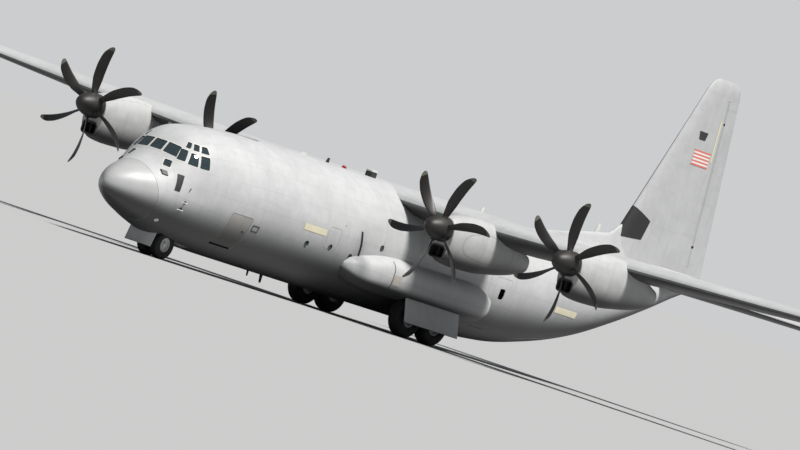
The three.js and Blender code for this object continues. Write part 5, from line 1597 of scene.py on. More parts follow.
def blade_ring(radius, root_angle, hub):
    chord, lag, ratio, pitch = smooth_row(BLADE, BLADE_SLOPES, radius)
    end = max(0.0, (radius - 1.97) / (BLADE_END - 1.97))
    chord *= math.sqrt(max(0.02, 1 - end**2 * 0.9))
    ring = []
    turn, (x, z) = math.radians(pitch), hub
    for i in range(BLADE_POINTS):
        angle = math.tau * i / BLADE_POINTS
        ahead, thick = math.cos(angle) * chord / 2, math.sin(angle) * chord * ratio / 2
        across = ahead * math.cos(turn) + thick * math.sin(turn) - lag
        forward = ahead * math.sin(turn) - thick * math.cos(turn)
        c, s = math.cos(root_angle), math.sin(root_angle)
        ring.append((x + radius * c - across * s, PROPELLER_Y - forward, z + radius * s + across * c))
    return ring


def blade_part(name, start, end, rows, root_angle, hub):
    return foil(name, [blade_ring(radius, root_angle, hub) for radius in spaced(start, end, rows)])


for number, hub in enumerate(ENGINE_PLACES, 1):
    x, z = hub
    root = math.radians(TIP_ANGLES[number - 1]) + math.asin(BLADE[-1][2] / BLADE_END)
    angles = [root + math.tau * i / BLADE_COUNT for i in range(BLADE_COUNT)]
    profile = rounded_profile(SPINNER, 22) + [(0.405, 0.27), (0.0, 0.27)]
    spinner = turned("spinner", profile, (x, PROPELLER_Y, z), turns=60)
    shaft = bar("shaft", (x, PROPELLER_Y, z), (x, PROPELLER_Y + 0.5, z), 0.12, sides=32)
    spinner = joined(f"spinner_{number}", spinner, shaft)
    blades, tips, cuffs = [], [], []
    for angle in angles:
        blades.append(blade_part("blade", BLADE_START, TIP_START, 22, angle, hub))
        tips.append(blade_part("tip", TIP_START, BLADE_END, 8, angle, hub))
        near, far = ((x + r * math.cos(angle), PROPELLER_Y, z + r * math.sin(angle)) for r in CUFF)
        cuffs.append(bevel_edges(bar("cuff", near, far, 0.1, 0.093, sides=28), 0.004))
    blades = joined(f"blades_{number}", *blades)
    tips = joined(f"blade_tips_{number}", *tips)
    cuffs = joined(f"blade_cuffs_{number}", *cuffs)
    body = f"propeller_{number}"
    finish(spinner, body, spinner_paint, "blade", f"propeller_{number}")
    finish(blades, body, blade_paint, "blade", degrees=50)
    finish(tips, body, tip_paint, "blade", degrees=50)
    finish(cuffs, body, boot_black, "blade")
print("propeller faces", faces(blades, spinner))

# %% [markdown]
# ## Wheels
# Main and nose wheels are turned shapes: a ribbed tyre with a rounded shoulder on a dished wheel with a
# proud hub and ten bolts. A torus would give a round tyre, but the real ones are flat across the tread with
# a few grooves.

# %% Turned wheels
MAIN_RADIUS, MAIN_WIDTH, MAIN_TRACK = 0.71, 0.5, 4.35
MAIN_WHEEL_Y = (15.24, 16.77)
NOSE_RADIUS, NOSE_WIDTH = 0.495, 0.33
NOSE_WHEEL_Y, NOSE_WHEEL_X = 3.7, 0.27
RIM_SHARE, HUB_SHARE = 0.48, 0.2
AXLE_RADIUS = 0.06
# share of the radius, share of the width: from the bead over the shoulder to the middle of the tread
TYRE_HALF = [
    (0.485, -0.4), (0.52, -0.43), (0.6, -0.475), (0.7, -0.497), (0.8, -0.495), (0.88, -0.47),
    (0.94, -0.415), (0.975, -0.35), (0.99, -0.3), (0.992, -0.235), (0.972, -0.23), (0.972, -0.215),
    (0.995, -0.21), (0.998, -0.115), (0.976, -0.11), (0.976, -0.095), (1.0, -0.09), (1.0, 0.0),
]
# share of the hub's radius, and then of the rim's, with the share of the width
HUB_HALF = [(0.8, -0.4), (1.0, -0.37), (1.15, -0.24)]
RIM_HALF = [
    (0.74, -0.16), (0.86, -0.19), (0.9, -0.36), (0.92, -0.4), (0.99, -0.4), (1.0, -0.385), (0.97, -0.33),
]


def turned_tyre(name, radius, width, centre, gap=0.0):
    half = [(r * radius + (gap if r < 0.5 else 0), a * width) for r, a in TYRE_HALF]
    other = [(r, -a) for r, a in reversed(half[:-1])]
    return turned(name, [*half, *other, half[0]], centre, axis="x", turns=72)


def turned_wheel(name, radius, width, bore, centre, bolts=10):
    rim, hub = radius * RIM_SHARE, radius * HUB_SHARE
    half = [(bore, HUB_HALF[0][1] * width)]
    for size, rows in ((hub, HUB_HALF), (rim, RIM_HALF)):
        half += [(share * size, a * width) for share, a in rows]
    other = [(r, -a) for r, a in reversed(half)]
    disc = turned(name, [*half, *other, half[0]], centre, axis="x", turns=60)
    x, y, z = centre
    studs = []
    for side in (-1, 1):
        for i in range(bolts):
            turn = math.tau * i / bolts
            at_y, at_z = y + rim * 0.62 * math.cos(turn), z + rim * 0.62 * math.sin(turn)
            inner, outer = x + side * 0.15 * width, x + side * 0.235 * width
            studs.append(bar("stud", (inner, at_y, at_z), (outer, at_y, at_z), radius * 0.026, sides=6))
    return joined(name, disc, *studs)


for side_name, sign, _ in SIDES:
    for row, y in zip(("front", "rear"), MAIN_WHEEL_Y):
        node = f"main_wheel_{row}_{side_name}"
        centre = (sign * MAIN_TRACK / 2, y, MAIN_RADIUS)
        tyre = turned_tyre(f"{node}_tyre", MAIN_RADIUS, MAIN_WIDTH, centre)
        disc = turned_wheel(f"{node}_disc", MAIN_RADIUS, MAIN_WIDTH, AXLE_RADIUS + 0.012, centre)
        finish(tyre, node, tyre_rubber, "tyre", node)
        finish(disc, node, wheel_white, "wheel_paint")

nose_centre = (NOSE_WHEEL_Y, NOSE_RADIUS)
discs = [
    turned_wheel("disc", NOSE_RADIUS, NOSE_WIDTH, 0.05, (x, *nose_centre), 8)
    for x in (-NOSE_WHEEL_X, NOSE_WHEEL_X)
]
axle = bar("axle", (-0.42, *nose_centre), (0.42, *nose_centre), AXLE_RADIUS, sides=32)
nose_wheels = joined("nose_wheel_discs", axle, *discs)
finish(nose_wheels, "nose_wheels", wheel_white, "wheel_paint", "nose_wheels")
for side_name, sign, _ in SIDES:
    centre = (sign * NOSE_WHEEL_X, *nose_centre)
    tyre = turned_tyre(f"nose_tyre_skin_{side_name}", NOSE_RADIUS, NOSE_WIDTH, centre, 0.002)
    finish(tyre, "nose_wheels", tyre_rubber, "tyre", f"nose_tyre_{side_name}")
print("wheel faces", faces(tyre, disc))

# %% [markdown]
# ## Gear legs
# Each main leg is a pair of struts in tandem: a painted cylinder, a bright piston, an axle and a torque
# link. Plain cylinders would have the size; collars, links and hoses are what makes them look like shock
# struts.

# %% Main legs
STRUT_X = 1.79
STRUT_TOP = 2.318
# bottom, top, lower radius, upper radius, sides
MAIN_COLLARS = [(1.22, 1.32, 0.135, 0.135, 40), (1.72, 1.8, 0.13, 0.13, 40), (0.6, 0.82, 0.1, 0.09, 36)]


def torque_link(x, y, top, bottom, reach):
    """Two hinged arms behind a strut, from the cylinder's foot to the axle."""
    knee = (y + reach, (top + bottom) / 2)
    arms = []
    for dx in (-0.05, 0.05):
        for z in (top, bottom):
            arms.append(bar("arm", (x + dx, y + 0.06, z), (x + dx * 0.4, *knee), 0.022, 0.016))
    arms.append(bar("pin", (x - 0.05, *knee), (x + 0.05, *knee), 0.024))
    return arms


for side_name, sign, _ in SIDES:
    x = sign * STRUT_X
    axle_end = sign * (MAIN_TRACK / 2 + 0.42 * MAIN_WIDTH)
    painted, bright = [], []
    for y, link_reach in zip(MAIN_WHEEL_Y, (-0.26, 0.26)):
        painted.append(bar("cylinder", (x, y, 1.25), (x, y, STRUT_TOP), 0.115, sides=40))
        for low, high, *rest in MAIN_COLLARS:
            painted.append(bevel_edges(bar("collar", (x, y, low), (x, y, high), *rest), 0.008))
        painted.append(bar("axle", (x, y, MAIN_RADIUS), (axle_end, y, MAIN_RADIUS), AXLE_RADIUS, sides=32))
        painted += torque_link(x, y, 1.26, 0.74, link_reach)
        bright.append(bar("piston", (x, y, 0.7), (x, y, 1.3), 0.075, sides=36))
    front, back = [(x, y, 1.4) for y in MAIN_WHEEL_Y]
    painted.append(bar("bar", front, back, 0.045, sides=24))
    hose_x, hose_y = x + sign * 0.1, MAIN_WHEEL_Y[0] + 0.12
    hose = bar("hose", (hose_x, hose_y, 0.8), (hose_x, hose_y, 1.9), 0.014, sides=12)
    leg = joined(f"main_leg_{side_name}", *painted)
    fixed(leg, gear_white, "steel", f"main_gear_leg_{side_name}")
    piston = joined(f"main_pistons_{side_name}", *bright)
    fixed(piston, oleo_chrome, "steel")
    hose.name = f"brake_hose_{side_name}"
    fixed(hose, dark_fitting, "dark_panel")
print("main leg faces", faces(leg))

# %% [markdown]
# ## Nose gear
# The upper leg is fixed in its bay with a drag brace; the piston below it steers with the twin wheels.

# %% Nose leg and fork
y = NOSE_WHEEL_Y
upper = bar("upper", (0, y, 0.8), (0, y, NOSE_BAY_ROOF - 0.001), 0.09, sides=40)
parts = [
    upper,
    bevel_edges(bar("collar", (0, y, 0.8), (0, y, 0.87), 0.105, sides=40), 0.008),
    bevel_edges(bar("collar", (0, y, 1.16), (0, y, 1.24), 0.11, sides=40), 0.008),
    bar("brace", (0, y, 1.12), (0, NOSE_BAY_FRONT + 0.1, NOSE_BAY_ROOF - 0.06), 0.04, sides=24),
]
for dx in (-0.06, 0.06):
    parts.append(bar("arm", (dx, y, 1.2), (dx * 4, y + 0.42, NOSE_BAY_ROOF - 0.02), 0.026, sides=20))
leg = joined("nose_leg_skin", *parts)
cut_by(leg, bar("bore", (0, y, 0.5), (0, y, 1.064), 0.068, sides=36))
fixed(leg, gear_white, "steel", "nose_gear_leg")
piston = bar("piston", (0, y, 0.5), (0, y, 1.05), 0.06, sides=36)
finish(piston, "nose_fork", oleo_chrome, "steel", "nose_fork")
fork_parts = [
    bar("sleeve", (-0.095, y, NOSE_RADIUS), (0.095, y, NOSE_RADIUS), 0.1, sides=36),
    bar("knuckle", (0, y, 0.5), (0, y, 0.66), 0.085, 0.072, sides=36),
]
sleeve = joined("nose_fork_sleeve", *[bevel_edges(part, 0.006) for part in fork_parts])
cut_by(sleeve, bar("bore", (-0.5, y, NOSE_RADIUS), (0.5, y, NOSE_RADIUS), AXLE_RADIUS + 0.006, sides=32))
finish(sleeve, "nose_fork", gear_white, "steel")
print("nose leg faces", faces(leg, sleeve))

# %% [markdown]
# ## Wheel fairings and gear doors
# The fairings bulge from the hull's sides over the main wheels, blunt in front and flat below. They are
# lofted from half ovals and cut to the hull, so that the seam follows the skin. Each gear door is a pressed
# panel with stiffeners on its inner face, and it stands open beside the wheels.

# %% Wheel fairings
# station, half width at its widest, bottom, top
FAIRING = [
    (11.1, 2.06, 1.6, 1.85),
    (11.15, 2.19, 1.49, 1.95),
    (11.26, 2.31, 1.38, 2.04),
    (11.5, 2.44, 1.24, 2.13),
    (12.2, 2.57, 1.12, 2.3),
    (13.2, 2.65, 1.08, 2.45),
    (14.2, 2.68, 1.07, 2.48),
    (17.9, 2.68, 1.07, 2.48),
    (18.8, 2.6, 1.12, 2.42),
    (19.35, 2.4, 1.35, 2.25),
]
FAIRING_SLOPES = slopes(FAIRING)
FAIRING_INNER = 1.3
FAIRING_ROUND = 2 / 3.2
FAIRING_STEPS = 26
MOUTH_OUTER, MOUTH_TOP = 2.52, 2.2


def fairing_ring(y, sign, grow=0.0):
    outer, bottom, top = smooth_row(FAIRING, FAIRING_SLOPES, y)
    outer, bottom, top = outer + grow, bottom - grow, top + grow
    ring = []
    for i in range(FAIRING_STEPS + 1):
        angle = (i / FAIRING_STEPS - 0.5) * math.pi
        across = max(0.0, math.cos(angle)) ** FAIRING_ROUND
        up = squared_off(math.sin(angle), FAIRING_ROUND)
        x = FAIRING_INNER + across * (outer - FAIRING_INNER)
        ring.append((sign * x, y, (bottom + top) / 2 + up * (top - bottom) / 2))
    return ring


def fairing_solid(name, sign, grow=0.0):
    return foil(name, [fairing_ring(y, sign, grow) for y in spaced(FAIRING[0][0], FAIRING[-1][0], 60)])


hull_middle = hull_tube("hull_middle", 10.5, 20, 12, closed=True)
for side_name, sign, _ in SIDES:
    body = fairing_solid(f"wheel_fairing_skin_{side_name}", sign)
    cut_by(body, box("mouth", (0.2 * sign, WELL_FRONT, 0), (MOUTH_OUTER * sign, WELL_BACK, MOUTH_TOP)))
    cut_by(body, hull_middle, keep=True)
    bevel_edges(body, 0.006, 2, 50)
    fixed(body, hull_paint, "airframe_paint", f"wheel_fairing_{side_name}")
drop(hull_middle)
print("fairing faces", faces(body))

# %% Gear doors
# a main door's section seen from ahead (x, z), and the nose door's seen from the side (y, z)
MAIN_DOOR = [(2.5, 1.3), (2.55, 1.3), (2.78, 0.52), (2.74, 0.5)]
MAIN_RIB = [(2.52, 1.2), (2.47, 1.15), (2.66, 0.58), (2.72, 0.56)]
NOSE_DOOR = [(2.86, 0.95), (2.9, 0.95), (2.76, 0.3), (2.73, 0.31)]
NOSE_RIB = [(2.88, 0.9), (2.95, 0.85), (2.83, 0.42), (2.77, 0.38)]
for side_name, sign, _ in SIDES:
    door = front_prism("door", [(sign * x, z) for x, z in MAIN_DOOR], WELL_FRONT + 0.05, WELL_BACK - 0.05)
    parts = [bevel_edges(door, 0.006, 2)]
    for i in range(6):
        y = lerp(WELL_FRONT + 0.25, WELL_BACK - 0.25, i / 5)
        rib = front_prism("rib", [(sign * x, z) for x, z in MAIN_RIB], y, y + 0.04)
        parts.append(bevel_edges(rib, 0.004))
    panel = joined(f"main_gear_door_skin_{side_name}", *parts)
    cut_by(panel, fairing_solid("outside", sign, 0.002))
    fixed(panel, door_paint, "airframe_paint", f"main_gear_door_{side_name}")
nose_outside = hull_tube("nose_outside", 2.0, 4.0, 12, inset=-0.002, closed=True)
door = bevel_edges(side_prism("door", NOSE_DOOR, -0.55, 0.55), 0.006, 2)
nose_parts = [cut_by(door, nose_outside, keep=True)]
for x in (-0.4, -0.13, 0.13, 0.4):
    rib = side_prism("rib", NOSE_RIB, x - 0.02, x + 0.02)
    nose_parts.append(cut_by(bevel_edges(rib, 0.004), nose_outside, keep=True))
nose_door = joined("nose_gear_door_skin", *nose_parts)
drop(nose_outside)
fixed(nose_door, door_paint, "airframe_paint", "nose_gear_door")
print("gear door faces", faces(panel, nose_door))

# %% [markdown]
# ## Crew door
# The crew door folds down on a hinge at its sill, and its inner face is the stair. It could be drawn as a
# flat plate, but the hull curves there, so the door is the stretch of hull wall between the door's edges,
# and the treads stand between two side plates on its inner face.

# %% Crew door with its stair
CREW_LEAF = 0.08
TREADS = (1.35, 1.65, 1.95)
TREAD_DEPTH = 0.2
STRINGER_FOOT = 1.28
STRINGER_WIDTH = 0.02
STRINGER_DEPTH = 0.07
TREAD_THICKNESS = 0.03
STAIR_INSET = 0.15

crew_leaf = thicken(hull_tube("crew_leaf", CREW_FRONT - 0.2, CREW_BACK + 0.2, 14), CREW_LEAF)
cut_by(crew_leaf, side_prism("crew_edge", CREW_DOOR, 1, 3, 0.05), operation="INTERSECT")
crew_paint = skin_paint("crew_paint", "wing", (0.41, 0.4, 0.38), (0.6, 0.5))
finish(crew_leaf, "crew_door", crew_paint, "airframe_paint", "crew_door")


def stair_box(name, front, back, low, high, depth):
    """A box on the door's inner face, as deep as given."""
    face = hull_side((front + back) / 2, low) - CREW_LEAF
    return box(name, (face - depth, front, low), (face + 0.02, back, high))


stair = []
stair_front, stair_back = CREW_FRONT + STAIR_INSET, CREW_BACK - STAIR_INSET
for height in TREADS:
    tread = stair_box("tread", stair_front, stair_back, height, height + TREAD_THICKNESS, TREAD_DEPTH)
    stair.append(bevel_edges(tread, 0.004))
for front in (stair_front - STRINGER_WIDTH, stair_back):
    for low, high in zip((STRINGER_FOOT,) + TREADS[:-1], TREADS):
        back, top = front + STRINGER_WIDTH, high + TREAD_THICKNESS
        stair.append(stair_box("stringer", front, back, low, top, STRINGER_DEPTH))
stair = joined("crew_stair", *stair)
finish(stair, "crew_door", floor_metal, "interior")

handle_x = hull_side(CREW_BACK - 0.2, 1.7)
handle_low, handle_high = (handle_x - 0.02, CREW_BACK - 0.25, 1.66), (handle_x + 0.008, CREW_BACK - 0.1, 1.74)
handle = box("crew_door_handle", handle_low, handle_high)
finish(bevel_edges(handle, 0.003), "crew_door", dark_fitting, "dark_panel")
print("crew door with", len(TREADS), "treads")

# %% [markdown]
# ## Flight deck
# Through the big windows show the deck, the instrument panel and the two seats. They sit in a curved shell,
# so the floor, the rear wall and the instrument panel are modelled as plain shapes first and then trimmed by
# the hull's inside, as a carpenter fits boards.

# %% Floor and rear wall of the flight deck
DECK_FRONT = 2.3
DECK_LEVEL = (2.0, 2.06)
REAR_WALL = (5.82, 5.9)
STAIRWELL = ((0.15, 4.45, 1.9), (2, REAR_WALL[0], 2.2))
REAR_DOORWAY = rectangle(-0.95, -0.2, 1.2, 3.1)
DECK_CLEARANCE = 0.012

deck_inside = hull_tube("deck_inside", 1.7, 5.98, 40, inset=SKIN + DECK_CLEARANCE, closed=True)
deck = box("flight_deck_floor", (-2, DECK_FRONT, DECK_LEVEL[0]), (2, REAR_WALL[1], DECK_LEVEL[1]))
cut_by(deck, box("stairwell", *STAIRWELL))
cut_by(deck, deck_inside, keep=True, operation="INTERSECT")
wall = box("flight_deck_wall", (-3, REAR_WALL[0], 0.3), (3, REAR_WALL[1], 5))
cut_by(wall, front_prism("rear_doorway", REAR_DOORWAY, 5, 6.5, 0.1))
cut_by(wall, deck_inside, keep=True, operation="INTERSECT")
fixed(deck, floor_metal, "interior", "flight_deck")
fixed(wall, cabin_grey, "interior")
print("faces of the flight deck floor and wall", faces(deck, wall))

# %% Instrument panel, glare shield and pedestal
PANEL_BACK = 2.62
SCREENS = [(x, 2.86) for x in (-0.95, -0.68, -0.36, 0.36, 0.68, 0.95)]
SCREEN_HALF = (0.11, 0.13)
SCREEN_ROOM = 0.004

panel = box("panel_board", (-1.2, 2.42, 2.7), (1.2, PANEL_BACK, 3.12))
for x, z in SCREENS:
    outline = rectangle(x - SCREEN_HALF[0], x + SCREEN_HALF[0], z - SCREEN_HALF[1], z + SCREEN_HALF[1])
    cut_by(panel, front_prism("screen_recess", outline, PANEL_BACK - 0.02, PANEL_BACK + 0.1, 0.015))
shield = bevel_edges(box("glare_shield", (-1.2, 2.42, 3.12), (1.2, 2.75, 3.16)), 0.008, 3)
pedestal = bevel_edges(box("pedestal", (-0.24, 2.55, 2.06), (0.24, 3.3, 2.66)), 0.012, 3)
levers = []
for i in range(4):
    x = -0.12 + 0.08 * i
    levers.append(bar("lever", (x, 2.9, 2.64), (x, 2.82, 2.8), 0.008, sides=12))
    levers.append(bevel_edges(box("knob", (x - 0.025, 2.79, 2.78), (x + 0.025, 2.84, 2.83)), 0.006, 3))
dashboard = joined("instrument_board", panel, shield, pedestal, *levers)
cut_by(dashboard, deck_inside, keep=True, operation="INTERSECT")
fixed(dashboard, panel_black, "dark_panel", "instrument_panel")


def build_screen_paint():
    """Dark glass with a faint dim picture behind it."""
    material, tree, shader, vector = start_material("screen_glass", (0.012, 0.02, 0.02), 0.12)
    glow = noise(tree, vector, 55.0, 3.0)
    colour = mixed(tree, smooth_step(tree, glow, 0.45, 0.6), (0.008, 0.012, 0.014), (0.03, 0.06, 0.05))
    tree.links.new(colour, shader.inputs["Base Color"])
    return material


screens = []
for x, z in SCREENS:
    half_x, half_z = (half - SCREEN_ROOM for half in SCREEN_HALF)
    low = (x - half_x, PANEL_BACK - 0.02, z - half_z)
    high = (x + half_x, PANEL_BACK - 0.012, z + half_z)
    screens.append(bevel_edges(box("screen", low, high), 0.0012))
screens = cut_by(joined("panel_screens", *screens), deck_inside, operation="INTERSECT")
fixed(screens, build_screen_paint(), "glass")
print("instrument panel with", len(SCREENS), "screens")

# %% [markdown]
# ## Crew seats
# Each pilot's seat is a steel frame on floor rails with foam pads under cloth. A pad could be a rounded
# box, but foam swells where the seams let it, so each pad's block is remeshed evenly and blown up a little
# as cloth, with the growth capped. The sewn channels are pressed in afterwards, because a remesh would lose
# them.

# %% Seat cloth, a plain weave
def build_seat_cloth():
    material, tree, shader, vector = start_material("seat_cloth", (0.05, 0.055, 0.05), 0.92)
    shader.inputs["Sheen Weight"].default_value = 0.25
    threads = []
    for direction in ("X", "Z"):
        wave = tree.nodes.new("ShaderNodeTexWave")
        wave.bands_direction = direction
        wave.inputs["Scale"].default_value = 260.0
        tree.links.new(vector, wave.inputs["Vector"])
        threads.append(wave.outputs["Fac"])
    weave = math_node(tree, "MAXIMUM", *threads)
    faded = noise(tree, vector, 14.0, 4.0)
    cloth = mixed(tree, faded, (0.04, 0.045, 0.042), (0.075, 0.08, 0.072))
    tree.links.new(mixed(tree, weave, (0.02, 0.022, 0.02), cloth), shader.inputs["Base Color"])
    bump(tree, shader, weave, 0.3, 0.0008)
    return material


seat_cloth = build_seat_cloth()

# %% Pads blown up as cloth, with the growth capped
PAD_VOXEL = 0.007
PAD_GROWTH = 0.006
PAD_FRAMES = 12
CHANNEL_DEPTH = 0.003
CHANNEL_WIDTH = 0.006


def blow_up(pad):
    before = [vertex.co.copy() for vertex in pad.data.vertices]
    work_on(pad)
    modifier = pad.modifiers.new("cloth", "CLOTH")
    modifier.settings.use_pressure = True
    modifier.settings.uniform_pressure_force = 4
    modifier.settings.effector_weights.gravity = 0
    for number in range(1, PAD_FRAMES + 1):
        bpy.context.scene.frame_set(number)
    bpy.ops.object.modifier_apply(modifier=modifier.name)
    bpy.context.scene.frame_set(1)
    for vertex, start in zip(pad.data.vertices, before):
        moved = vertex.co - start
        if moved.length > PAD_GROWTH:
            vertex.co = start + moved.normalized() * PAD_GROWTH
    return pad


def seat_pad(name, low, high, channels):
    """A pad from a slightly smaller block; channels are the places of its sewn grooves from side to side."""
    shrink = PAD_GROWTH / HALF * 0.7
    pad = box(name, [c + shrink for c in low], [c - shrink for c in high])
    bevel_edges(pad, 0.012, 3)
    apply_modifier(pad, "REMESH", mode="VOXEL", voxel_size=PAD_VOXEL)
    blow_up(pad)
    a, b = at(*low), at(*high)
    middle = (a + b) / 2
    for vertex in pad.data.vertices:
        for share in channels:
            across = abs(vertex.co.x - (a.x + (b.x - a.x) * share))
            if across < CHANNEL_WIDTH:
                depth = CHANNEL_DEPTH * (1 - (across / CHANNEL_WIDTH) ** 2)
                vertex.co += (middle - vertex.co).normalized() * depth
    return apply_modifier(pad, "SUBSURF", levels=1, render_levels=1)


# %% Two seats on their rails
SEAT_X = 0.62
SEAT_Y = 3.25
# name, low corner and high corner from the seat's place, sewn channels
PADS = [
    ("cushion", (-0.24, -0.24, 2.43), (0.24, 0.2, 2.55), (0.33, 0.67)),
    ("back", (-0.22, 0.19, 2.56), (0.22, 0.29, 3.14), (0.33, 0.67)),
    ("headrest", (-0.13, 0.2, 3.17), (0.13, 0.29, 3.38), ()),
]


def seat_corners(seat_x, *corners):
    """Corners given from a seat's place, in the aircraft's metres."""
    return [(x + seat_x, y + SEAT_Y, z) for x, y, z in corners]


for seat_x, side_name in ((-SEAT_X, "right"), (SEAT_X, "left")):
    for word, low, high, channels in PADS:
        pad = seat_pad(f"seat_{word}_{side_name}", *seat_corners(seat_x, low, high), channels)
        nodes = ["crew_seats"] if word == "cushion" else []
        finish(pad, "airframe", seat_cloth, "seat_fabric", *nodes, degrees=60)
print("two crew seats padded, simulated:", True)

# %% Seat frames
# low corner and high corner of each plate or tube, from the seat's place
FRAME_PLATES = [
    ((-0.15, -0.14, 2.09), (0.15, 0.16, 2.38)),
    ((-0.23, -0.22, 2.38), (0.23, 0.24, 2.42)),
    ((-0.22, 0.295, 2.42), (0.22, 0.315, 3.2)),
    ((-0.27, -0.12, 2.68), (-0.235, 0.3, 2.72)),
    ((0.235, -0.12, 2.68), (0.27, 0.3, 2.72)),
    ((-0.16, -0.24, 2.062), (-0.12, 0.3, 2.09)),
    ((0.12, -0.24, 2.062), (0.16, 0.3, 2.09)),
]

frames = []
for seat_x in (-SEAT_X, SEAT_X):
    for corners in FRAME_PLATES:
        frames.append(bevel_edges(box("seat_plate", *seat_corners(seat_x, *corners)), 0.003))
fixed(joined("seat_frames", *frames), cabin_grey, "interior")

# %% [markdown]
# ## Cargo floor
# With the ramp down one looks along the hold. Its floor is plate with four roller tracks and rows of
# tie-down cups, and these repeat, so one roller and one cup are made and an array modifier lays out the
# rest.

# %% Floor plate, roller tracks and tie-down cups
HOLD_HALF, HOLD_FRONT, HOLD_BACK, HOLD_BOTTOM, HOLD_TOP = 1.6, 6.1, 22.586, 0.89, 1.03
TRACKS = (-0.95, -0.45, 0.45, 0.95)
TRACK_HALF = 0.06
ROLLER_RADIUS = 0.022
ROLLER_PITCH = 0.25
CUP_RADIUS = 0.05
CUP_PITCH = 0.5
CUP_ROWS = (-1.35, -0.7, 0.0, 0.7, 1.35)
PROUD = 0.012

floor_low = (-HOLD_HALF, HOLD_FRONT, HOLD_BOTTOM)
hold_floor = box("hold_floor", floor_low, (HOLD_HALF, HOLD_BACK, HOLD_TOP - PROUD))
hold_inside = hull_tube("hold_inside", HOLD_FRONT - 0.2, HOLD_BACK + 0.2, 40, inset=0.07, closed=True)
cut_by(hold_floor, hold_inside, operation="INTERSECT")
fixed(hold_floor, floor_metal, "interior", "cargo_floor")


def repeated(piece, pitch, length):
    step = {"use_relative_offset": False, "use_constant_offset": True}
    return apply_modifier(
        piece, "ARRAY", count=int(length / pitch), **step, constant_offset_displace=(0, pitch * HALF, 0)
    )


fittings = []
length = HOLD_BACK - HOLD_FRONT - 0.4
for x in TRACKS:
    for side in (-TRACK_HALF, TRACK_HALF):
        low = (x + side - 0.008, HOLD_FRONT + 0.15, HOLD_TOP - PROUD - 0.004)
        fittings.append(box("track_lip", low, (x + side + 0.008, HOLD_BACK - 0.15, HOLD_TOP)))
    y, z = HOLD_FRONT + 0.3, HOLD_TOP - PROUD - 0.012
    roller = bar("roller", (x - TRACK_HALF, y, z), (x + TRACK_HALF, y, z), ROLLER_RADIUS, sides=10)
    fittings.append(repeated(roller, ROLLER_PITCH, length))
for x in CUP_ROWS:
    y, z = HOLD_FRONT + 0.35, HOLD_TOP - PROUD
    cup = bar("tie_down_cup", (x, y, z - 0.01), (x, y, z + 0.005), CUP_RADIUS, CUP_RADIUS * 0.8, sides=12)
    fittings.append(repeated(cup, CUP_PITCH, length))
fittings = joined("hold_fittings", *fittings)
fixed(fittings, engine_metal, "interior")
print("faces of the hold fittings", faces(fittings))

# %% [markdown]
# ## Small things on the skin
# Light strips, lamps, probes, aerials and hatches show how big an aircraft is. Each sits on a curved skin,
# so a ray is sent from outside to find the skin's place and slope there. Plates are small grids laid on the
# skin and given a thickness, which keeps them parallel to it, and bars and lamps stand along the skin's own
# slope.

# %% Find a place on the skin
RAY_START = 20.0
ABOVE, BELOW = (0, 0, 1), (0, 0, -1)


def skin_hit(skins, spot, side):
    """Place and slope of the skin that is met first from a side, at a spot in the aircraft's metres."""
    outward = Vector(side)
    start = at(*spot) + outward * RAY_START
    found = [skin.ray_cast(start, -outward) for skin in skins]
    hits = [(place, normal) for hit, place, normal, _ in found if hit]
    place, normal = min(hits, key=lambda pair: (pair[0] - start).length)
    return place, normal if normal.dot(outward) > 0 else -normal


def skin_plate(name, skins, corners, side, proud=0.006, thickness=0.012, columns=8, rows=4):
    """A thin plate that follows the skin between four corners, seen from a side."""
    def place(u, v):
        ends = [[lerp(a, b, u) for a, b in zip(*pair)] for pair in (corners[:2], (corners[3], corners[2]))]
        spot, normal = skin_hit(skins, [lerp(a, b, v) for a, b in zip(*ends)], side)
        return spot + normal * proud * HALF

    plate = shaped_grid(name, columns, rows, place)
    return clean(thicken(plate, thickness, offset=0.0))


def side_corners(y_low, y_high, z_low, z_high, slant=0.0):
    """Corners of a plate seen from the side; its upper edge lies further aft by the slant."""
    return [(0, y_low, z_low), (0, y_high, z_low), (0, y_high + slant, z_high), (0, y_low + slant, z_high)]


STUD_SINK = 0.02


def stud(name, spot, side, radius, height, end_radius=None):
    """A round boss that stands on the hull along its slope."""
    place, normal = skin_hit(HULL_SKINS, spot, side)
    foot, head = place - normal * STUD_SINK * HALF, place + normal * height * HALF
    return bevel_edges(cone(name, foot, head, radius, end_radius, 24), min(radius, height) * 0.25 * HALF, 2)


def rim_rows(u_low, u_high, v_low, v_high, width):
    """The four strips of a rectangular rim, as the limits of each in u and v."""
    return [
        (u_low, u_high, v_low, v_low + width),
        (u_low, u_high, v_high - width, v_high),
        (u_low, u_low + width, v_low + width, v_high - width),
        (u_high - width, u_high, v_low + width, v_high - width),
    ]


bpy.context.view_layer.update()
HULL_PIECES = ("nose_skin", "forward_skin", "centre_skin", "aft_skin", "tail_cone_skin")
HULL_SKINS = [bpy.data.objects[name] for name in HULL_PIECES]
print("skins to stand on:", [skin.name for skin in HULL_SKINS])

# %% Light strips for flying in formation
strip_cream = worn_paint("strip_cream", (0.66, 0.62, 0.46), 0.45, (0.45, 0.42, 0.34), 0.35, 22.0)
# on the hull from and to a station, from and to a height; on the fin by its corners
HULL_STRIPS = [(8.3, 9.57, 2.41, 2.62), (23.45, 24.87, 2.36, 2.57)]
FIN_STRIP = [(0, 32.14, 8.84), (0, 32.24, 8.84), (0, 32.14, 10.32), (0, 32.04, 10.32)]

for word, _, side in SIDES:
    strips = [skin_plate("strip", HULL_SKINS, side_corners(*row), side, columns=16) for row in HULL_STRIPS]
    strips.append(skin_plate("strip", [fin], FIN_STRIP, side, columns=2, rows=10))
    fixed(joined(f"light_strips_{word}", *strips), strip_cream, "airframe_paint")

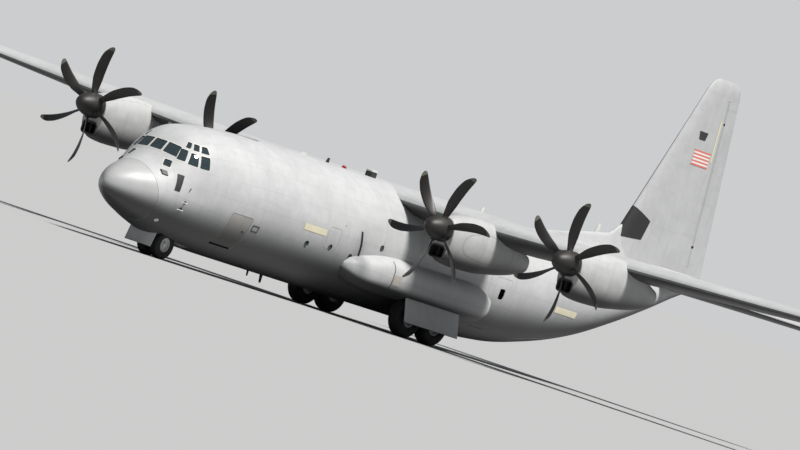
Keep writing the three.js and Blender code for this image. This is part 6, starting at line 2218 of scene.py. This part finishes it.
# %% Dark panels: the nose slots, the fin panel and the deflector edges
NOSE_SLOT = [(0, 1.99, 2.3), (0, 2.18, 2.3), (0, 2.274, 2.84), (0, 2.085, 2.84)]
FIN_PANEL = [(0, 31.05, 9.5), (0, 31.42, 9.5), (0, 31.5, 9.78), (0, 30.98, 9.78)]
SIDE_FITTING = side_corners(1.63, 1.79, 2.68, 2.8)
DEFLECTOR = [(11.45, 2.92), (11.58, 2.5), (11.65, 2.08), (11.58, 1.75), (11.42, 1.48)]
DEFLECTOR_WIDTH = 0.05
BOX_PANEL = (5.7, 6.05, 1.8, 2.02)
BOX_EDGE = 0.03

for word, _, side in SIDES:
    dark = [
        skin_plate("fin_window", [fin], FIN_PANEL, side, columns=4),
        skin_plate("side_fitting", HULL_SKINS, SIDE_FITTING, side, proud=0.02, thickness=0.04),
    ]
    for (y, z), (next_y, next_z) in zip(DEFLECTOR, DEFLECTOR[1:]):
        corners = side_corners(y, y + DEFLECTOR_WIDTH, z, next_z, next_y - y)
        dark.append(skin_plate("deflector", HULL_SKINS, corners, side, proud=0.02, thickness=0.04, columns=2))
    for row in rim_rows(*BOX_PANEL, BOX_EDGE):
        dark.append(skin_plate("box_edge", HULL_SKINS, side_corners(*row), side, columns=4))
    fixed(joined(f"dark_panels_{word}", *dark), dark_fitting, "dark_panel")
    slot = skin_plate(f"nose_slot_{word}", HULL_SKINS, NOSE_SLOT, side, columns=4, rows=8)
    fixed(slot, boot_black, "dark_panel")
print("light strips and dark panels on both sides")

# %% Striped panel on the fin
stripe_red = worn_paint("stripe_red", (0.62, 0.16, 0.13), 0.5, (0.5, 0.2, 0.17), 0.3, 30.0)
stripe_pale = worn_paint("stripe_pale", (0.72, 0.7, 0.68), 0.5, (0.6, 0.58, 0.55), 0.3, 30.0)
STRIPED_FRONT, STRIPED_BACK, STRIPED_BOTTOM, STRIPED_TOP = 30.98, 32.06, 8.6, 9.14
STRIPED_COUNT = 9

for word, _, side in SIDES:
    step = (STRIPED_TOP - STRIPED_BOTTOM) / STRIPED_COUNT
    stripes = [[], []]
    for i in range(STRIPED_COUNT):
        low = STRIPED_BOTTOM + i * step
        corners = side_corners(STRIPED_FRONT, STRIPED_BACK, low, low + step)
        stripes[i % 2].append(skin_plate("stripe", [fin], corners, side, columns=8, rows=1))
    for plates, title, paint in ((stripes[0], "red", stripe_red), (stripes[1], "pale", stripe_pale)):
        fixed(joined(f"striped_panel_{title}_{word}", *plates), paint, "airframe_paint")
print("striped panel of", STRIPED_COUNT, "bars")

# %% Black boot round the foot of the fin
BOOT = [(27.3, 5.47), (28.0, 6.95), (28.66, 6.7), (29.7, 6.3), (29.47, 5.6), (27.95, 5.47)]
BOOT_PROUD = 0.008

boot = apply_modifier(foil("fin_boot", fin_rings), "DISPLACE", strength=BOOT_PROUD * HALF, mid_level=0.0)
cut_by(boot, side_prism("boot_edge", BOOT, -1.5, 1.5, 0.03), operation="INTERSECT")
fixed(boot, boot_black, "dark_panel")
print("faces of the fin boot", faces(boot))

# %% Lamps, each a ring with a lens
lens_glass = glass_material("lens_glass", (0.8, 0.82, 0.84), 0.05, 0.5)
red_lens = glass_material("red_lens", (0.5, 0.03, 0.02), 0.08, 0.4)
# spot, radius
LAMPS = [((0, 2.07, 1.2), 0.075), ((0, 4.64, 1.387), 0.05), ((0, 10.54, 2.97), 0.035)]
LENS_SHARE = 0.72

for word, _, side in SIDES:
    rings, lenses = [], []
    for spot, radius in LAMPS:
        rings.append(stud("ring", spot, side, radius, 0.015))
        lenses.append(stud("lens", spot, side, radius * LENS_SHARE, 0.03, radius * LENS_SHARE * 0.8))
    fixed(joined(f"lamp_rings_{word}", *rings), white_fitting, "airframe_paint")
    fixed(joined(f"lamp_lenses_{word}", *lenses), lens_glass, "glass")
beacons = [
    stud("beacon", (0, 12.3, 0), ABOVE, 0.1, 0.08, 0.06),
    stud("beacon", (0, 18.9, 0), BELOW, 0.11, 0.09, 0.06),
]
fixed(joined("beacons", *beacons), red_lens, "glass")

# %% Probes beside the nose
# foot (y, z), length
PROBES = [((2.5, 2.02), 0.3), ((2.46, 1.78), 0.3)]
PROBE_STAND = 0.13
PROBE_RADIUS = 0.018

for word, sign, side in SIDES:
    masts, tubes = [], []
    for (y, z), probe_length in PROBES:
        place, normal = skin_hit(HULL_SKINS, (0, y, z), side)
        foot = (place.x / HALF, y, z)
        knee = tuple(a + b * PROBE_STAND for a, b in zip(foot, (normal.x, -0.5, normal.z)))
        sunk = tuple(a - b * 0.02 for a, b in zip(foot, normal))
        masts.append(bar("mast", sunk, knee, PROBE_RADIUS * 1.4, PROBE_RADIUS))
        masts.append(stud("foot", (0, y, z), side, 0.05, 0.012))
        nose_end = (knee[0], knee[1] - probe_length, knee[2])
        tail_end = (knee[0], knee[1] + 0.04, knee[2])
        tubes.append(bar("tube", nose_end, tail_end, PROBE_RADIUS * 0.6, PROBE_RADIUS))
    vane = skin_hit(HULL_SKINS, (0, 2.52, 2.45), side)[0]
    masts.append(bar("vane", (vane.x / HALF, 2.52, 2.38), (vane.x / HALF + sign * 0.03, 2.55, 2.52), 0.014))
    fixed(joined(f"probe_masts_{word}", *masts), boot_black, "dark_panel")
    fixed(joined(f"probe_tubes_{word}", *tubes), white_fitting, "steel")
print("lamps and probes on both sides")

# %% Aerials on the roof and the belly
def aerial(name, y, side, height, chord, thickness=0.035, sweep=0.5):
    """A swept blade on the centre line, its foot sunk in the skin."""
    surface = skin_hit([*HULL_SKINS, dorsal], (0, y, 0), side)[0].z / HALF
    up = side[2]
    low, high = surface - 0.05 * up, surface + height * up
    outline = [(y, low), (y + chord, low), (y + chord * (0.55 + sweep), high), (y + chord * sweep, high)]
    return bevel_edges(side_prism(name, outline, -thickness / 2, thickness / 2), 0.004, 3)


# station, side, height, chord
DARK_AERIALS = [
    (8.95, BELOW, 0.17, 0.1),
    (9.7, BELOW, 0.26, 0.16),
    (14.2, BELOW, 0.24, 0.14),
    (18.2, BELOW, 0.26, 0.16),
    (11.2, ABOVE, 0.16, 0.18),
]
PALE_AERIALS = [(27.1, ABOVE, 0.32, 0.26), (20.4, ABOVE, 0.22, 0.2), (9.65, ABOVE, 0.08, 0.4)]

darks = [aerial("dark_aerial", *row) for row in DARK_AERIALS]
pales = [aerial("pale_aerial", *row) for row in PALE_AERIALS]
fixed(joined("dark_aerials", *darks), boot_black, "dark_panel")
fixed(joined("pale_aerials", *pales), white_fitting, "airframe_paint")

# %% Roof box aerial and roof hatches
ROOF_BOX_FRONT, ROOF_BOX_BACK, ROOF_BOX_HALF, ROOF_BOX_HEIGHT, ROOF_CAP = 13.7, 14.02, 0.13, 0.24, 0.07
ROOF_HATCH = [(0.0, 6.6), (0.0, 22.0)]
HATCH_HALF = (0.34, 0.3)
HATCH_EDGE = 0.022

roof_z = skin_hit(HULL_SKINS, (0, ROOF_BOX_FRONT, 0), ABOVE)[0].z / HALF
cap_z = roof_z + ROOF_BOX_HEIGHT - ROOF_CAP
levels = (roof_z - 0.05, cap_z, cap_z + ROOF_CAP)
base, cap = (
    box(name, (-ROOF_BOX_HALF, ROOF_BOX_FRONT, low), (ROOF_BOX_HALF, ROOF_BOX_BACK, high))
    for name, low, high in zip(("roof_box", "roof_cap"), levels, levels[1:])
)
fixed(bevel_edges(base, 0.008, 3), dark_fitting, "dark_panel")
fixed(bevel_edges(cap, 0.012, 3), white_fitting, "airframe_paint")

edges = []
for x, y in ROOF_HATCH:
    half_x, half_y = HATCH_HALF
    for row in rim_rows(-half_x, half_x, -half_y, half_y, HATCH_EDGE):
        corners = [(x + u, y + v, 0) for u, v in rectangle(*row)]
        edges.append(skin_plate("hatch_edge", HULL_SKINS, corners, ABOVE, proud=0.003, thickness=0.01))
fixed(joined("roof_hatch_edges", *edges), dark_fitting, "dark_panel")
print("aerials", len(DARK_AERIALS) + len(PALE_AERIALS), "and", len(ROOF_HATCH), "roof hatches")

# %% Panels of the wheel fairings
FAIRING_SEAM = side_corners(13.2, 13.23, 1.2, 2.3, 0.06)
FAIRING_PATCH = side_corners(13.3, 13.68, 1.56, 1.9, 0.03)

for word, _, side in SIDES:
    skins = [bpy.data.objects[f"wheel_fairing_skin_{word}"]]
    thin = {"proud": 0.004, "thickness": 0.01}
    seam = skin_plate(f"fairing_seam_{word}", skins, FAIRING_SEAM, side, **thin, columns=2, rows=10)
    fixed(seam, dark_fitting, "dark_panel")
    patch = skin_plate(f"fairing_patch_{word}", skins, FAIRING_PATCH, side, columns=6, rows=6)
    fixed(patch, tan_patch, "airframe_paint")
print("fairing panels on both sides")
